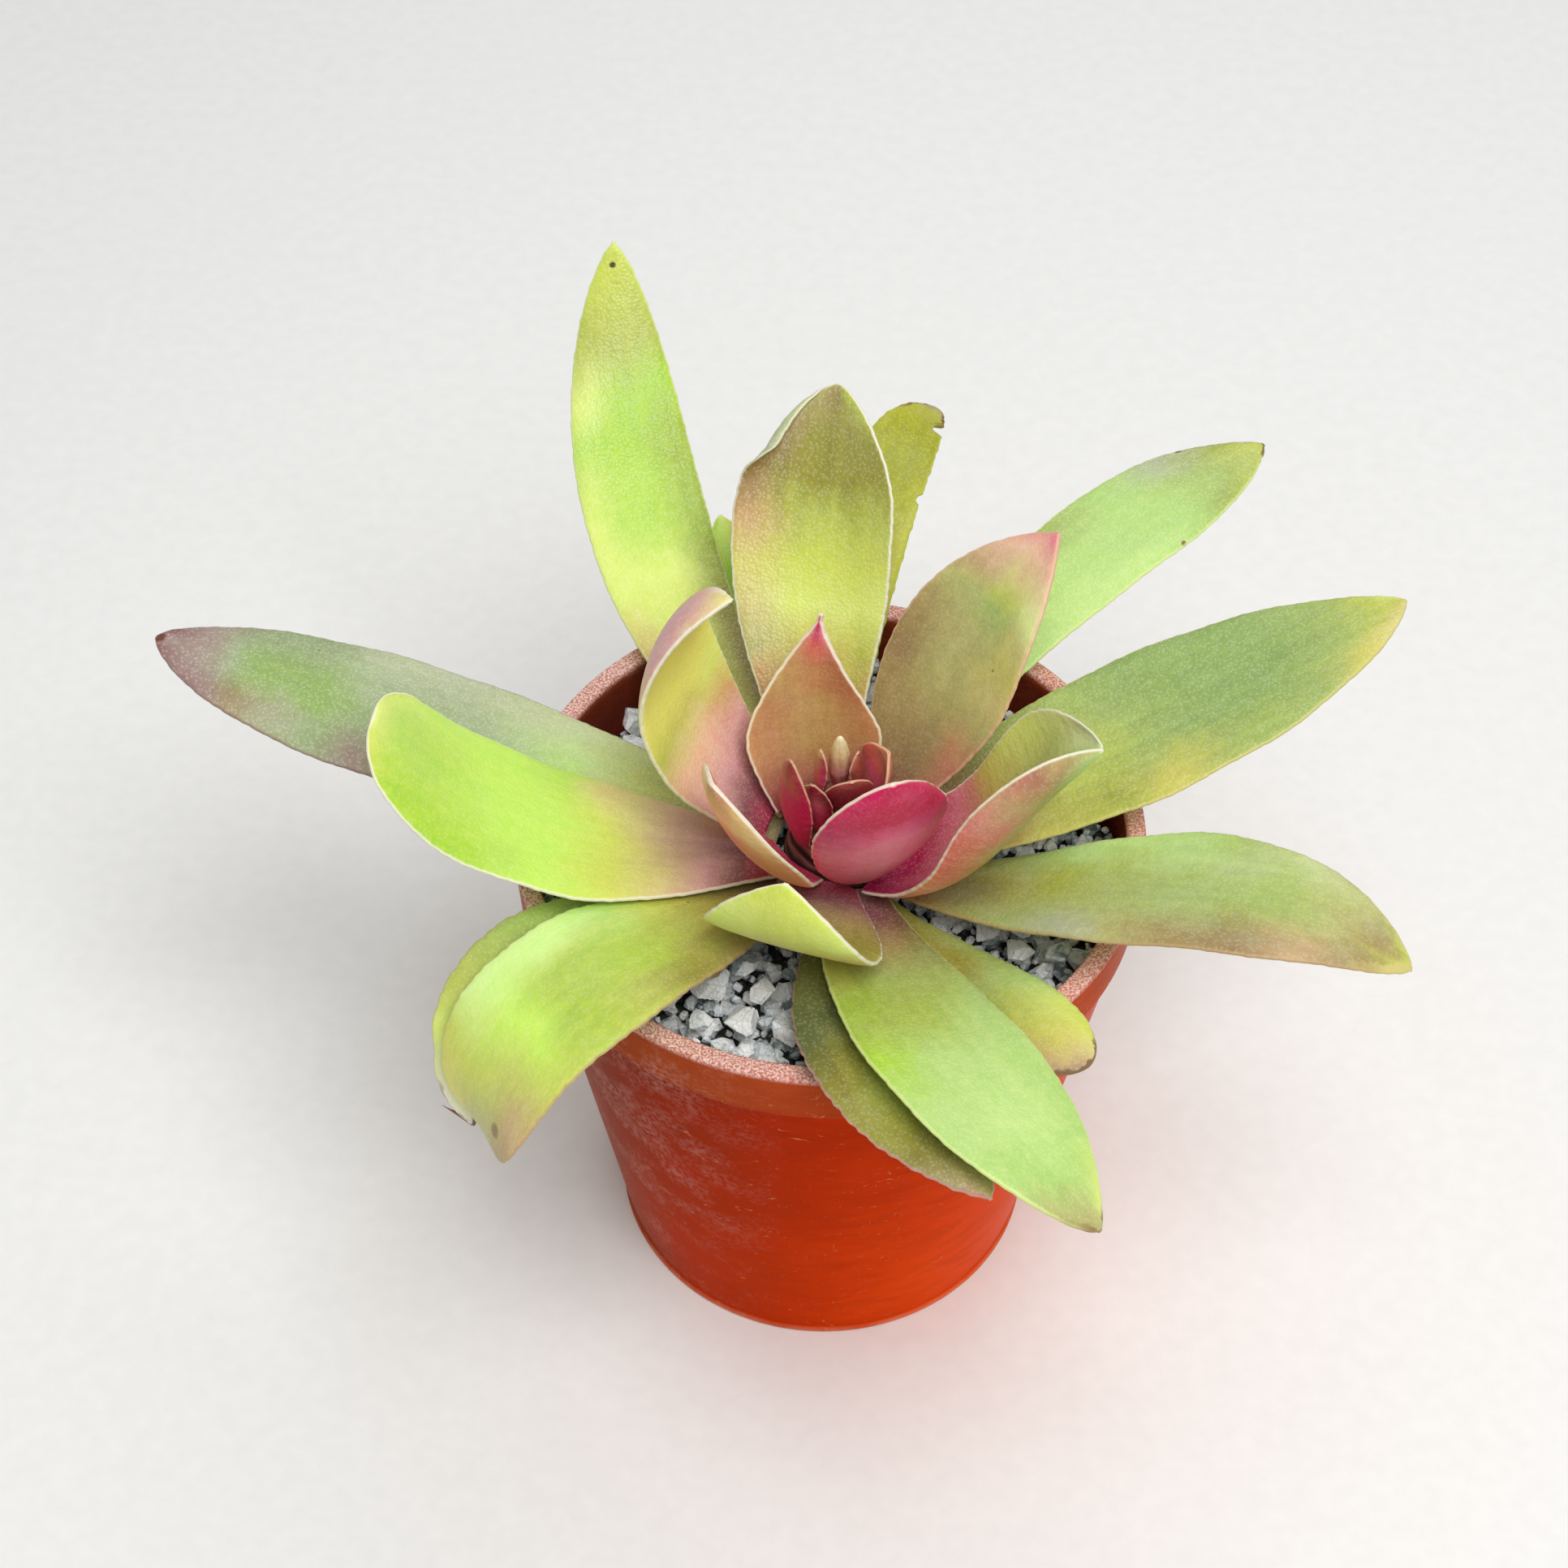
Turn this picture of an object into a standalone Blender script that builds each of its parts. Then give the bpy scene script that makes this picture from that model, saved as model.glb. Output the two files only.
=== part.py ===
# A succulent rosette in a round plastic pot: one body at rest, +Z up, metres.
# The origin is the centre of the pot's flat base.
import math

import bmesh
import bpy
import numpy as np
from mathutils import Matrix, Vector

MM = 0.001

# The pot.
POT_HEIGHT = 75 * MM
POT_TOP_RADIUS = 40 * MM
POT_BASE_RADIUS = 28 * MM
WALL = 1.2 * MM
FLOOR = 1.6 * MM
LIP_WIDTH = 2.6 * MM
BAND_HEIGHT = 8 * MM
BAND_STEP = 1.2 * MM
BEAD = 0.5 * MM
DRAIN_COUNT = 6
DRAIN_RADIUS = 3.2 * MM
DRAIN_CIRCLE = 15 * MM
TURN_STEPS = 64

# What fills it, measured down from the rim, and the gap kept between touching pieces.
GRIT_DROP = 6 * MM
GRIT_DEPTH = 7 * MM
GRIT_BUMP = 0.5 * MM
FIT = 0.3 * MM

# The plant stands a little off the pot's axis. Its own sizes are in rosette units:
# one unit is a fortieth of the pot's mouth radius, so a wider pot holds a wider plant.
PLANT_X = 1.0 * MM
PLANT_Y = -1.5 * MM
UNIT = POT_TOP_RADIUS / 40
LEAF_THICKNESS = 1.0
STEM_RADIUS = 7.0
ROOT_DEPTH = 13.0
EDGE_SHARE = 0.3
THIN_FOOT = 0.45
LEAF_ROWS = 10
LEAF_LANES = 4
LEAST_HALF_WIDTH = 0.35
CROWN = 15.0
BUD_LENGTH = 9.0
BUD_RADIUS = 1.5

# The plant rests on the grit, and never deeper below the rim than this, so that its
# outer leaves pass over the rim.
DEEPEST_REST = 6 * MM
GRIT_TOP = POT_HEIGHT - GRIT_DROP
REST = max(GRIT_TOP, POT_HEIGHT - DEEPEST_REST)

# Leaves from the lowest to the heart. Angles are in degrees and sizes in rosette units.
# root is how far the leaf's foot stands out from the stem's widest radius (negative where
# the stem has narrowed) and its height over the plant's rest level. rise is the blade's
# slope at the foot, half way and at the tip; swing turns the blade's heading along its
# length; roll twists it about its own line; cup is half the angle of its cross-section's
# arc; belly is where it is widest, foot the share of width left at the root, and point
# and shoulder how fast the tip closes.
LEAVES = {
    "leaf_front_left_under": dict(azimuth=220, swing=4, root=(2.5, 1.4), rise=(5, 5, -79),
        length=54.5, width=23, thick=2, roll=(7, -11), cup=(13, 2),
        belly=0.65, foot=0.3, point=0.5, shoulder=2.2, colour="#a3a040"),
    "leaf_front_right_under": dict(azimuth=272, swing=36, root=(2, 2.6), rise=(8, 14, -8),
        length=54, width=18.5, thick=2.2, roll=(-8, -6), cup=(-2, -11),
        belly=0.5, foot=0.25, point=0.85, shoulder=2.2, colour="#8f8a3e"),
    "leaf_right_short": dict(azimuth=303, swing=13, root=(2.5, 2.4), rise=(5, 15, 1),
        length=40, width=12, thick=2.2, roll=(-7, 6), cup=(6, -10),
        belly=0.7, foot=0.3, point=0.55, shoulder=2.2, colour="#a8a044"),
    "leaf_back_sliver": dict(azimuth=109, swing=0, root=(2, 1.6), rise=(17, 12, 35),
        length=44.5, width=11, thick=1.8, roll=(-1, -9), cup=(6, 1),
        belly=0.6, foot=0.35, point=0.75, shoulder=2.2, colour="#9fb840"),
    "leaf_back_yellow": dict(azimuth=91, swing=-28, root=(1.5, 2.8), rise=(29, 34, -37),
        length=61.5, width=10.5, thick=1.8, roll=(5, 12), cup=(13, 13),
        belly=0.65, foot=0.35, point=0.7, shoulder=2.2, colour="#b0a62c"),
    "leaf_left_long": dict(azimuth=168, swing=-2, root=(1, 1.8), rise=(12, 11, 11),
        length=83.5, width=20.5, thick=2.4, roll=(-2, 2), cup=(16, -12),
        belly=0.6, foot=0.45, point=0.65, shoulder=2.2, colour="#7d8a5a"),
    "leaf_back_right": dict(azimuth=58, swing=-23, root=(1, 2.6), rise=(26, 9, 2),
        length=78.5, width=15.5, thick=2.4, roll=(16, -4), cup=(27, -4),
        belly=0.7, foot=0.4, point=0.75, shoulder=2.2, colour="#9db455"),
    "leaf_back_left_tall": dict(azimuth=128, swing=-36, root=(1, 3.4), rise=(11, 21, 62),
        length=85.5, width=16.5, thick=2.4, roll=(0, -1), cup=(15, -4),
        belly=0.55, foot=0.4, point=0.75, shoulder=2.2, colour="#b9c247"),
    "leaf_front_left": dict(azimuth=226, swing=-4, root=(1.5, 3.8), rise=(8, 9, -92),
        length=59, width=22, thick=2.6, roll=(10, 8), cup=(-1, 16),
        belly=0.6, foot=0.35, point=0.35, shoulder=2.2, colour="#a9b04a"),
    "leaf_right_front": dict(azimuth=333, swing=12, root=(1.5, 2.4), rise=(10, 24, -39),
        length=69.5, width=20.5, thick=2.4, roll=(-9, -2), cup=(11, 11),
        belly=0.55, foot=0.35, point=0.75, shoulder=2.2, colour="#8fa055"),
    "leaf_right_back": dict(azimuth=13, swing=15, root=(1, 3.8), rise=(18, 17, 14),
        length=71, width=24.5, thick=2.6, roll=(3, -13), cup=(18, 12),
        belly=0.5, foot=0.55, point=0.75, shoulder=2.2, colour="#93a652"),
    "leaf_front_right": dict(azimuth=281, swing=36, root=(1.5, 4.2), rise=(10, 12, -30),
        length=62.5, width=20, thick=2.6, roll=(-3, -19), cup=(15, 6),
        belly=0.6, foot=0.45, point=0.75, shoulder=2.2, colour="#a3b15a"),
    "leaf_left_lime": dict(azimuth=195, swing=-27, root=(2, 4.4), rise=(14, 25, 63),
        length=56.5, width=23.5, thick=2.4, roll=(10, 6), cup=(12, -7),
        belly=0.5, foot=0.45, point=0.7, shoulder=2.2, colour="#b9c93c"),
    "leaf_front_curled": dict(azimuth=260, swing=-10, root=(2, 6.4), rise=(27, 40, 122),
        length=34, width=21.5, thick=2.4, roll=(1, -2), cup=(-5, 5),
        belly=0.55, foot=0.4, point=0.85, shoulder=2.2, colour="#bcc244"),
    "leaf_inner_back": dict(azimuth=102, swing=-26, root=(1.5, 5.6), rise=(38, 45, 41),
        length=51.5, width=22.5, thick=2.4, roll=(-9, -19), cup=(23, 30),
        belly=0.65, foot=0.35, point=0.75, shoulder=2.2, colour="#a8a43e"),
    "leaf_inner_right": dict(azimuth=43, swing=-7, root=(1, 6.4), rise=(48, 55, 31),
        length=41.5, width=20.5, thick=2.4, roll=(10, -7), cup=(27, 24),
        belly=0.5, foot=0.4, point=0.9, shoulder=2.2, colour="#a79a52"),
    "leaf_inner_canoe": dict(azimuth=330, swing=25, root=(1, 6.4), rise=(11, 61, 45),
        length=40.5, width=24, thick=2.2, roll=(13, -19), cup=(41, 85),
        belly=0.65, foot=0.65, point=0.75, shoulder=2.2, colour="#a86a50"),
    "leaf_inner_hood": dict(azimuth=163, swing=-1, root=(2, 5.8), rise=(44, 75, 162),
        length=46, width=20.5, thick=2.2, roll=(-5, -5), cup=(22, 19),
        belly=0.45, foot=0.5, point=0.85, shoulder=2.2, colour="#b79a5a"),
    "leaf_heart_back": dict(azimuth=113, swing=-44, root=(0, 7), rise=(71, 71, 64),
        length=25, width=18.5, thick=2, roll=(-7, 7), cup=(57, 20),
        belly=0.35, foot=0.8, point=1.15, shoulder=1.5, colour="#a8603c"),
    "leaf_heart_left": dict(azimuth=232, swing=-19, root=(2, 7.8), rise=(44, 64, 79),
        length=29.5, width=19, thick=2, roll=(-5, -4), cup=(26, 31),
        belly=0.55, foot=0.5, point=0.85, shoulder=2.2, colour="#b8764a"),
    "leaf_heart_front": dict(azimuth=290, swing=1, root=(1.5, 7.8), rise=(43, 74, 87),
        length=29.5, width=18, thick=2.2, roll=(4, 0), cup=(26, 30),
        belly=0.45, foot=0.35, point=0.8, shoulder=2.2, colour="#a8324a"),
    "leaf_bud_left": dict(azimuth=228, swing=-20, root=(-0.5, 9.8), rise=(69, 84, 95),
        length=17, width=7, thick=1.3, roll=(-1, 0), cup=(26, 26),
        belly=0.6, foot=0.35, point=0.8, shoulder=2.2, colour="#7c2030"),
    "leaf_bud_small": dict(azimuth=246, swing=-1, root=(-2, 11.8), rise=(65, 77, 86),
        length=12, width=4.5, thick=1.1, roll=(0, 0), cup=(35, 35),
        belly=0.6, foot=0.35, point=0.8, shoulder=2.2, colour="#5c1626"),
    "leaf_bud_right": dict(azimuth=16, swing=2, root=(-3, 13.2), rise=(59, 72, 79),
        length=7, width=8.5, thick=1.3, roll=(1, 2), cup=(34, 34),
        belly=0.55, foot=0.35, point=0.8, shoulder=2.2, colour="#6a1c2c"),
    "leaf_bud_front": dict(azimuth=287, swing=-1, root=(-3.5, 13.6), rise=(65, 79, 85),
        length=8.5, width=6.5, thick=1.2, roll=(-1, -1), cup=(35, 35),
        belly=0.6, foot=0.35, point=0.8, shoulder=2.2, colour="#641a2a"),
    "bract_left": dict(azimuth=201, swing=0, root=(-4.5, 15.2), rise=(79, 91, 102),
        length=7.5, width=3.5, thick=0.9, roll=(0, 0), cup=(45, 45),
        belly=0.6, foot=0.35, point=0.8, shoulder=2.2, colour="#b05060"),
    "bract_right": dict(azimuth=334, swing=0, root=(-4.5, 15.2), rise=(79, 91, 102),
        length=7.5, width=3.5, thick=0.9, roll=(0, 0), cup=(45, 45),
        belly=0.6, foot=0.35, point=0.8, shoulder=2.2, colour="#b05060"),
}

# Loose stones on the grit: distance from the pot's axis and direction, then the size.
STONES = [
    (27, 238, 5.4), (30, 250, 4.6), (25, 252, 3.8), (31, 232, 4.2), (26, 226, 4.4),
    (32, 242, 3.6), (22, 243, 4.0), (33, 224, 4.4), (30, 261, 4.2), (29, 326, 4.2),
    (33, 330, 3.8), (27, 334, 4.4), (31, 337, 3.6), (33, 343, 4.0), (24, 327, 3.8),
    (30, 148, 4.6), (33, 142, 4.2), (27, 141, 3.8), (31, 134, 4.4), (29, 40, 4.0),
    (33, 33, 3.6), (32, 65, 4.2), (31, 100, 4.4), (32, 190, 3.8),
]


def srgb(code):
    return [((int(code[i : i + 2], 16) / 255 + 0.055) / 1.055) ** 2.4 for i in (1, 3, 5)] + [1]


def finish(obj, collection, name, code, roughness):
    """Names an object, gives it its own material and files it in the collection."""
    obj.name = obj.data.name = name
    material = bpy.data.materials.new(name)
    material.use_nodes = True
    shader = material.node_tree.nodes["Principled BSDF"]
    shader.inputs["Base Color"].default_value = srgb(code)
    shader.inputs["Roughness"].default_value = roughness
    shader.inputs["Metallic"].default_value = 0
    obj.data.materials.clear()
    obj.data.materials.append(material)
    for user in list(obj.users_collection):
        user.objects.unlink(obj)
    collection.objects.link(obj)
    return obj


def turned(points, steps=TURN_STEPS):
    """A solid of revolution: an outline of (radius, height) run down its outer side."""
    mesh = bpy.data.meshes.new("turned")
    bm = bmesh.new()
    verts = [bm.verts.new((r, 0, z)) for r, z in points]
    for first, second in zip(verts, verts[1:]):
        bm.edges.new((first, second))
    if points[0][0] > 0:
        bm.edges.new((verts[-1], verts[0]))
    bm.to_mesh(mesh)
    bm.free()
    obj = bpy.data.objects.new("turned", mesh)
    bpy.context.scene.collection.objects.link(obj)
    screw = obj.modifiers.new("Screw", "SCREW")
    screw.axis = "Z"
    screw.angle = math.tau
    screw.steps = screw.render_steps = steps
    screw.use_merge_vertices = True
    screw.merge_threshold = 0.00001
    screw.use_smooth_shade = True
    return obj


def settled(obj):
    """The same object with its modifiers made part of its mesh."""
    bpy.context.view_layer.update()
    graph = bpy.context.evaluated_depsgraph_get()
    mesh = bpy.data.meshes.new_from_object(obj.evaluated_get(graph))
    obj.modifiers.clear()
    obj.data = mesh
    return obj


def cut(obj, cutter):
    boolean = obj.modifiers.new("Cut " + cutter.name, "BOOLEAN")
    boolean.operation = "DIFFERENCE"
    boolean.solver = "EXACT"
    boolean.object = cutter


def as_cutter(obj, name):
    obj.name = obj.data.name = name
    obj.hide_render = True
    obj.display_type = "WIRE"
    for user in list(obj.users_collection):
        user.objects.unlink(obj)
    cutters.objects.link(obj)
    return obj


def outer_radius(z):
    """The pot body's outside radius at a height, below the rim band."""
    top = POT_TOP_RADIUS - BAND_STEP
    return POT_BASE_RADIUS + (top - POT_BASE_RADIUS) * z / (POT_HEIGHT - BAND_HEIGHT)


def inner_radius(z):
    """The pot's inside radius at a height."""
    return outer_radius(min(z, POT_HEIGHT - BAND_HEIGHT)) - WALL


def stem_outline(clearance):
    """The stem from its crown down to the root's end, grown by a clearance."""
    above = [h * LEAF_THICKNESS for h in (CROWN, 14.5, 12.5, 9, 5, 1)]
    heights = above + [-ROOT_DEPTH / 4, -ROOT_DEPTH * 0.6, -ROOT_DEPTH]
    shares = [0.12, 0.24, 0.48, 0.74, 0.94, 1.0, 0.9, 0.55, 0.25]
    points = [(STEM_RADIUS * UNIT * k + clearance, REST + UNIT * h) for h, k in zip(heights, shares)]
    return [(0, points[0][1] + clearance)] + points + [(0, points[-1][1] - clearance)]


def leaf_blade(leaf, s, v):
    """Points on a leaf's middle surface: s runs from root to tip and v across it, -1 to 1.

    The midrib leaves the root and follows its slope and heading; each cross-section is a
    circular arc of half-angle cup, rolled about the midrib.
    """
    line = np.linspace(0, 1, 161)
    low, mid, high = np.radians(leaf["rise"])
    slope = low + (4 * mid - 3 * low - high) * line + 2 * (low + high - 2 * mid) * line**2
    heading = np.radians(leaf["azimuth"] + leaf["swing"] * line)
    tangent = np.stack([np.cos(slope) * np.cos(heading), np.cos(slope) * np.sin(heading), np.sin(slope)], -1)
    steps = (tangent[1:] + tangent[:-1]) / 2 * leaf["length"] / (len(line) - 1)
    azimuth = math.radians(leaf["azimuth"])
    out = STEM_RADIUS + leaf["root"][0]
    foot = np.array([out * math.cos(azimuth), out * math.sin(azimuth), leaf["root"][1] * LEAF_THICKNESS])
    rib = foot + np.vstack([np.zeros(3), np.cumsum(steps, 0)])
    side = np.stack([-np.sin(heading), np.cos(heading), 0 * heading], -1)
    up = np.cross(tangent, side)
    roll = np.radians(leaf["roll"][0] + (leaf["roll"][1] - leaf["roll"][0]) * line)[:, None]
    side, up = np.cos(roll) * side + np.sin(roll) * up, np.cos(roll) * up - np.sin(roll) * side
    at = lambda values: np.stack([np.interp(s, line, values[:, i]) for i in range(3)], -1)
    grow = leaf["foot"] + (1 - leaf["foot"]) * np.sin(np.pi / 2 * np.clip(s / leaf["belly"], 0, 1)) ** 1.3
    close = 1 - np.clip((s - leaf["belly"]) / (1 - leaf["belly"]), 0, 1) ** leaf["shoulder"]
    half = leaf["width"] / 2 * np.where(s < leaf["belly"], grow, close ** leaf["point"])
    half = np.maximum(half, LEAST_HALF_WIDTH)
    cup = np.radians(leaf["cup"][0] + (leaf["cup"][1] - leaf["cup"][0]) * s)
    cup = np.where(np.abs(cup) < 0.001, 0.001, cup)
    across = (half * np.sin(cup * v) / cup)[:, None]
    lift = (half * (1 - np.cos(cup * v)) / cup)[:, None]
    return at(rib) + across * at(side) + lift * at(up)


def make_leaf(name, leaf):
    """A flat grid bent into the blade, thickened to a lens by Solidify."""
    mesh = bpy.data.meshes.new(name)
    bm = bmesh.new()
    bmesh.ops.create_grid(bm, x_segments=LEAF_ROWS, y_segments=LEAF_LANES, size=1)
    bm.to_mesh(mesh)
    bm.free()
    grid = np.empty(len(mesh.vertices) * 3)
    mesh.vertices.foreach_get("co", grid)
    grid = grid.reshape(-1, 3)
    s, v = (grid[:, 0] + 1) / 2, grid[:, 1]
    points = leaf_blade(leaf, s, v) * UNIT + np.array([PLANT_X, PLANT_Y, REST])
    mesh.vertices.foreach_set("co", points.ravel())
    mesh.update()
    obj = bpy.data.objects.new(name, mesh)
    group = obj.vertex_groups.new(name="lens")
    lens = np.sqrt(np.clip(1 - v**2, 0, 1)) * (1 - 0.35 * s) * np.clip((1.02 - s) * 8, 0, 1)
    lens *= THIN_FOOT + (1 - THIN_FOOT) * np.clip(s / 0.3, 0, 1)
    for index, weight in enumerate(lens):
        group.add([index], float(weight), "REPLACE")
    solid = obj.modifiers.new("Solidify", "SOLIDIFY")
    solid.thickness = leaf["thick"] * LEAF_THICKNESS * UNIT
    solid.offset = 0
    solid.vertex_group = "lens"
    solid.thickness_vertex_group = EDGE_SHARE
    mesh.shade_smooth()
    finish(obj, parts, name, leaf["colour"], 0.45)


def bump(x, y):
    """The grit bed's gentle hills, as a share of GRIT_BUMP."""
    a, b = x / MM, y / MM
    return (np.sin(0.9 * a + 0.4 * b) + np.sin(0.7 * b - 0.5 * a + 1) + np.sin(1.3 * b + 2)) / 3


for old in list(bpy.data.objects):
    bpy.data.objects.remove(old)
parts = bpy.data.collections.new("Potted succulent")
cutters = bpy.data.collections.new("Cutters")
bpy.context.scene.collection.children.link(parts)
bpy.context.scene.collection.children.link(cutters)

# Pot: up the inside, over the lip, down the band, its step and the body to the bead.
band_foot = POT_HEIGHT - BAND_HEIGHT
lip_inner = POT_TOP_RADIUS - LIP_WIDTH
soft = 0.4 * MM
pot = turned([
    (0, FLOOR),
    (inner_radius(FLOOR), FLOOR),
    (inner_radius(band_foot), band_foot),
    (lip_inner, POT_HEIGHT - soft),
    (lip_inner + soft, POT_HEIGHT),
    (POT_TOP_RADIUS - soft, POT_HEIGHT),
    (POT_TOP_RADIUS, POT_HEIGHT - soft),
    (POT_TOP_RADIUS - soft, band_foot),
    (outer_radius(band_foot - 2 * soft), band_foot - 2 * soft),
    (outer_radius(3 * soft), 3 * soft),
    (POT_BASE_RADIUS + BEAD, 2 * soft),
    (POT_BASE_RADIUS + BEAD, soft),
    (POT_BASE_RADIUS, 0),
    (0, 0),
])
for index in range(DRAIN_COUNT):
    turn = math.tau * index / DRAIN_COUNT
    place = (DRAIN_CIRCLE * math.cos(turn), DRAIN_CIRCLE * math.sin(turn), FLOOR / 2)
    bpy.ops.mesh.primitive_cylinder_add(vertices=20, radius=DRAIN_RADIUS, depth=FLOOR * 3, location=place)
    cut(pot, as_cutter(bpy.context.object, f"drain_{index + 1}"))
finish(pot, parts, "pot", "#b8370a", 0.3)

# The stem and its root, and the pocket they leave in the mix and the grit.
stem = turned(stem_outline(0), 20)
stem.location = (PLANT_X, PLANT_Y, 0)
finish(stem, parts, "stem", "#6a7a34", 0.6)
pocket = turned(stem_outline(FIT), 20)
pocket.location = (PLANT_X, PLANT_Y, 0)
pocket = as_cutter(settled(pocket), "root_pocket")

mix_top = GRIT_TOP - GRIT_DEPTH
mix_foot = FLOOR + FIT
mix = turned([
    (0, mix_top),
    (inner_radius(mix_top) - FIT, mix_top),
    (inner_radius(mix_foot) - FIT, mix_foot),
    (0, mix_foot),
])
cut(mix, pocket)
finish(mix, parts, "potting_mix", "#3a2b20", 0.95)

rings = [inner_radius(GRIT_TOP) * k for k in (0.88, 0.72, 0.56, 0.4, 0.26)]
grit = turned(
    [(0, GRIT_TOP)] + [(r, GRIT_TOP) for r in reversed(rings)] + [
    (inner_radius(GRIT_TOP) - FIT, GRIT_TOP - 2 * GRIT_BUMP),
    (inner_radius(mix_top + FIT) - FIT, mix_top + FIT),
    (0, mix_top + FIT),
], 32)
settled(grit)
for vert in grit.data.vertices:
    if vert.co.z > GRIT_TOP - GRIT_BUMP / 2:
        vert.co.z += GRIT_BUMP * float(bump(vert.co.x, vert.co.y))
cut(grit, pocket)
finish(grit, parts, "grit_layer", "#8f9391", 0.85)

# Stones sit clear of the bed's highest hills, so they never sink into it.
for index, (far, turn, size) in enumerate(STONES):
    bm = bmesh.new()
    bmesh.ops.create_icosphere(bm, subdivisions=2, radius=0.5)
    rough = np.random.default_rng(40 + index)
    stretch = Vector(rough.uniform([0.85, 0.8, 0.55], [1.1, 1.0, 0.7]))
    spin = rough.uniform(0, math.tau)
    for vert in bm.verts:
        flat = max(abs(vert.co.x), abs(vert.co.y), abs(vert.co.z)) / 0.5
        vert.co *= 1 - 0.25 * (flat - 0.6) + rough.uniform(-0.05, 0.05)
        vert.co = Vector((vert.co.x * stretch.x, vert.co.y * stretch.y, vert.co.z * stretch.z)) * size * UNIT
    bmesh.ops.rotate(bm, verts=bm.verts, cent=(0, 0, 0), matrix=Matrix.Rotation(spin, 3, "Z"))
    mesh = bpy.data.meshes.new("stone")
    bm.to_mesh(mesh)
    bm.free()
    stone = bpy.data.objects.new("stone", mesh)
    lowest = min(vert.co.z for vert in mesh.vertices)
    away = math.radians(turn)
    stone_z = GRIT_TOP + GRIT_BUMP + FIT - lowest
    stone.location = (far * UNIT * math.cos(away), far * UNIT * math.sin(away), stone_z)
    finish(stone, parts, f"stone_{index + 1:02d}", "#b4b7b4", 0.6)

for name, leaf in LEAVES.items():
    make_leaf(name, leaf)

# The closed bud at the heart stands on the stem's crown.
bud_foot = REST + CROWN * LEAF_THICKNESS * UNIT + FIT
shape = [(1, 0), (0.97, 0.28), (0.86, 0.55), (0.66, 0.85), (0.36, 1), (0.12, 0.7), (0, 0.45)]
petals = [(BUD_RADIUS * UNIT * r, bud_foot + BUD_LENGTH * UNIT * h) for h, r in shape]
bud = turned(petals + [(0, bud_foot)], 16)
bud.location = (PLANT_X, PLANT_Y, 0)
finish(bud, parts, "bud", "#d8b890", 0.5)
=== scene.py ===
# Potted succulent: the looks. A turned plastic pot, a bed of quartz grit, and a rosette of
# waxy leaves, each piece worked out on a grid of two parameters.
import math

import bmesh
import bpy
import numpy as np
from mathutils import Matrix, Vector


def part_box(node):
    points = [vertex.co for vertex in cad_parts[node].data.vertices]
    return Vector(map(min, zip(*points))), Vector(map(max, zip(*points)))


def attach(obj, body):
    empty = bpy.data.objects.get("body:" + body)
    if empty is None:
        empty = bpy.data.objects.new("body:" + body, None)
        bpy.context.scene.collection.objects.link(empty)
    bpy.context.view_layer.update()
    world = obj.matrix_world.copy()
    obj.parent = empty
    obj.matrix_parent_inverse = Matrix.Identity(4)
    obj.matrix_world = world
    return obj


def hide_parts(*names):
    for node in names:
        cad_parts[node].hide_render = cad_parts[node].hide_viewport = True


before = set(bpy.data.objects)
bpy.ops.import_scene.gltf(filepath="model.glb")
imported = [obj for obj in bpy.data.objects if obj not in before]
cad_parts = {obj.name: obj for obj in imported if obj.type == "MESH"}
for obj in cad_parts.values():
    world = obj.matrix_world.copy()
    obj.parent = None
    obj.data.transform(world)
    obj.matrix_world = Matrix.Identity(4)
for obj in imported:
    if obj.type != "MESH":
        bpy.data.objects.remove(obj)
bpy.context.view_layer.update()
mm = 0.001
print("frame loaded:", len(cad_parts), "nodes")


def linearColour(code):
    # sRGB hex to linear: c / 12.92 near black, else ((c + 0.055) / 1.055) to the power 2.4
    parts = [int(code[i : i + 2], 16) / 255 for i in (1, 3, 5)]
    return [c / 12.92 if c < 0.04 else ((c + 0.055) / 1.055) ** 2.4 for c in parts] + [1]


def addNode(tree, kind, settings=None, values=None, links=None):
    # one shader node; "stops" in its settings are the (place, colour) pairs of a colour ramp
    node = tree.nodes.new(kind)
    for key, value in (settings or {}).items():
        if key != "stops":
            setattr(node, key, value)
            continue
        elements = node.color_ramp.elements
        elements.remove(elements[1])
        elements[0].position, elements[0].color = value[0]
        for place, colour in value[1:]:
            elements.new(place).color = colour
    for key, value in (values or {}).items():
        node.inputs[key].default_value = value
    for key, source in (links or {}).items():
        tree.links.new(getattr(source, "outputs", [source])[0], node.inputs[key])
    return node


def newMaterial(name):
    material = bpy.data.materials.new(name)
    material.use_nodes = True
    tree = material.node_tree
    tree.nodes.clear()
    return material, tree


def endMaterial(tree, shader):
    addNode(tree, "ShaderNodeOutputMaterial", links={"Surface": shader})


def meshPiece(name, points, faces, material, smooth=True):
    # points in millimetres; faces are one array of quads or triangles, or a list of both
    mesh = bpy.data.meshes.new(name)
    lists = faces.tolist() if isinstance(faces, np.ndarray) else [f for part in faces for f in part.tolist()]
    mesh.from_pydata((np.asarray(points) * mm).tolist(), [], lists)
    mesh.polygons.foreach_set("use_smooth", [smooth] * len(mesh.polygons))
    mesh.materials.append(material)
    mesh.update()
    piece = bpy.data.objects.new(name, mesh)
    bpy.context.scene.collection.objects.link(piece)
    return piece


def placePiece(piece, slot, *nodes):
    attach(piece, "root")
    if nodes:
        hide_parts(*nodes)


def addPieceData(piece, name, values, domain="POINT"):
    # a number or a vector for each point or face of the mesh, for the materials to read
    kind, field = ("FLOAT", "value") if np.ndim(values) == 1 else ("FLOAT_VECTOR", "vector")
    layer = piece.data.attributes.new(name, kind, domain)
    layer.data.foreach_set(field, np.ravel(values).astype(np.float32))


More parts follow.
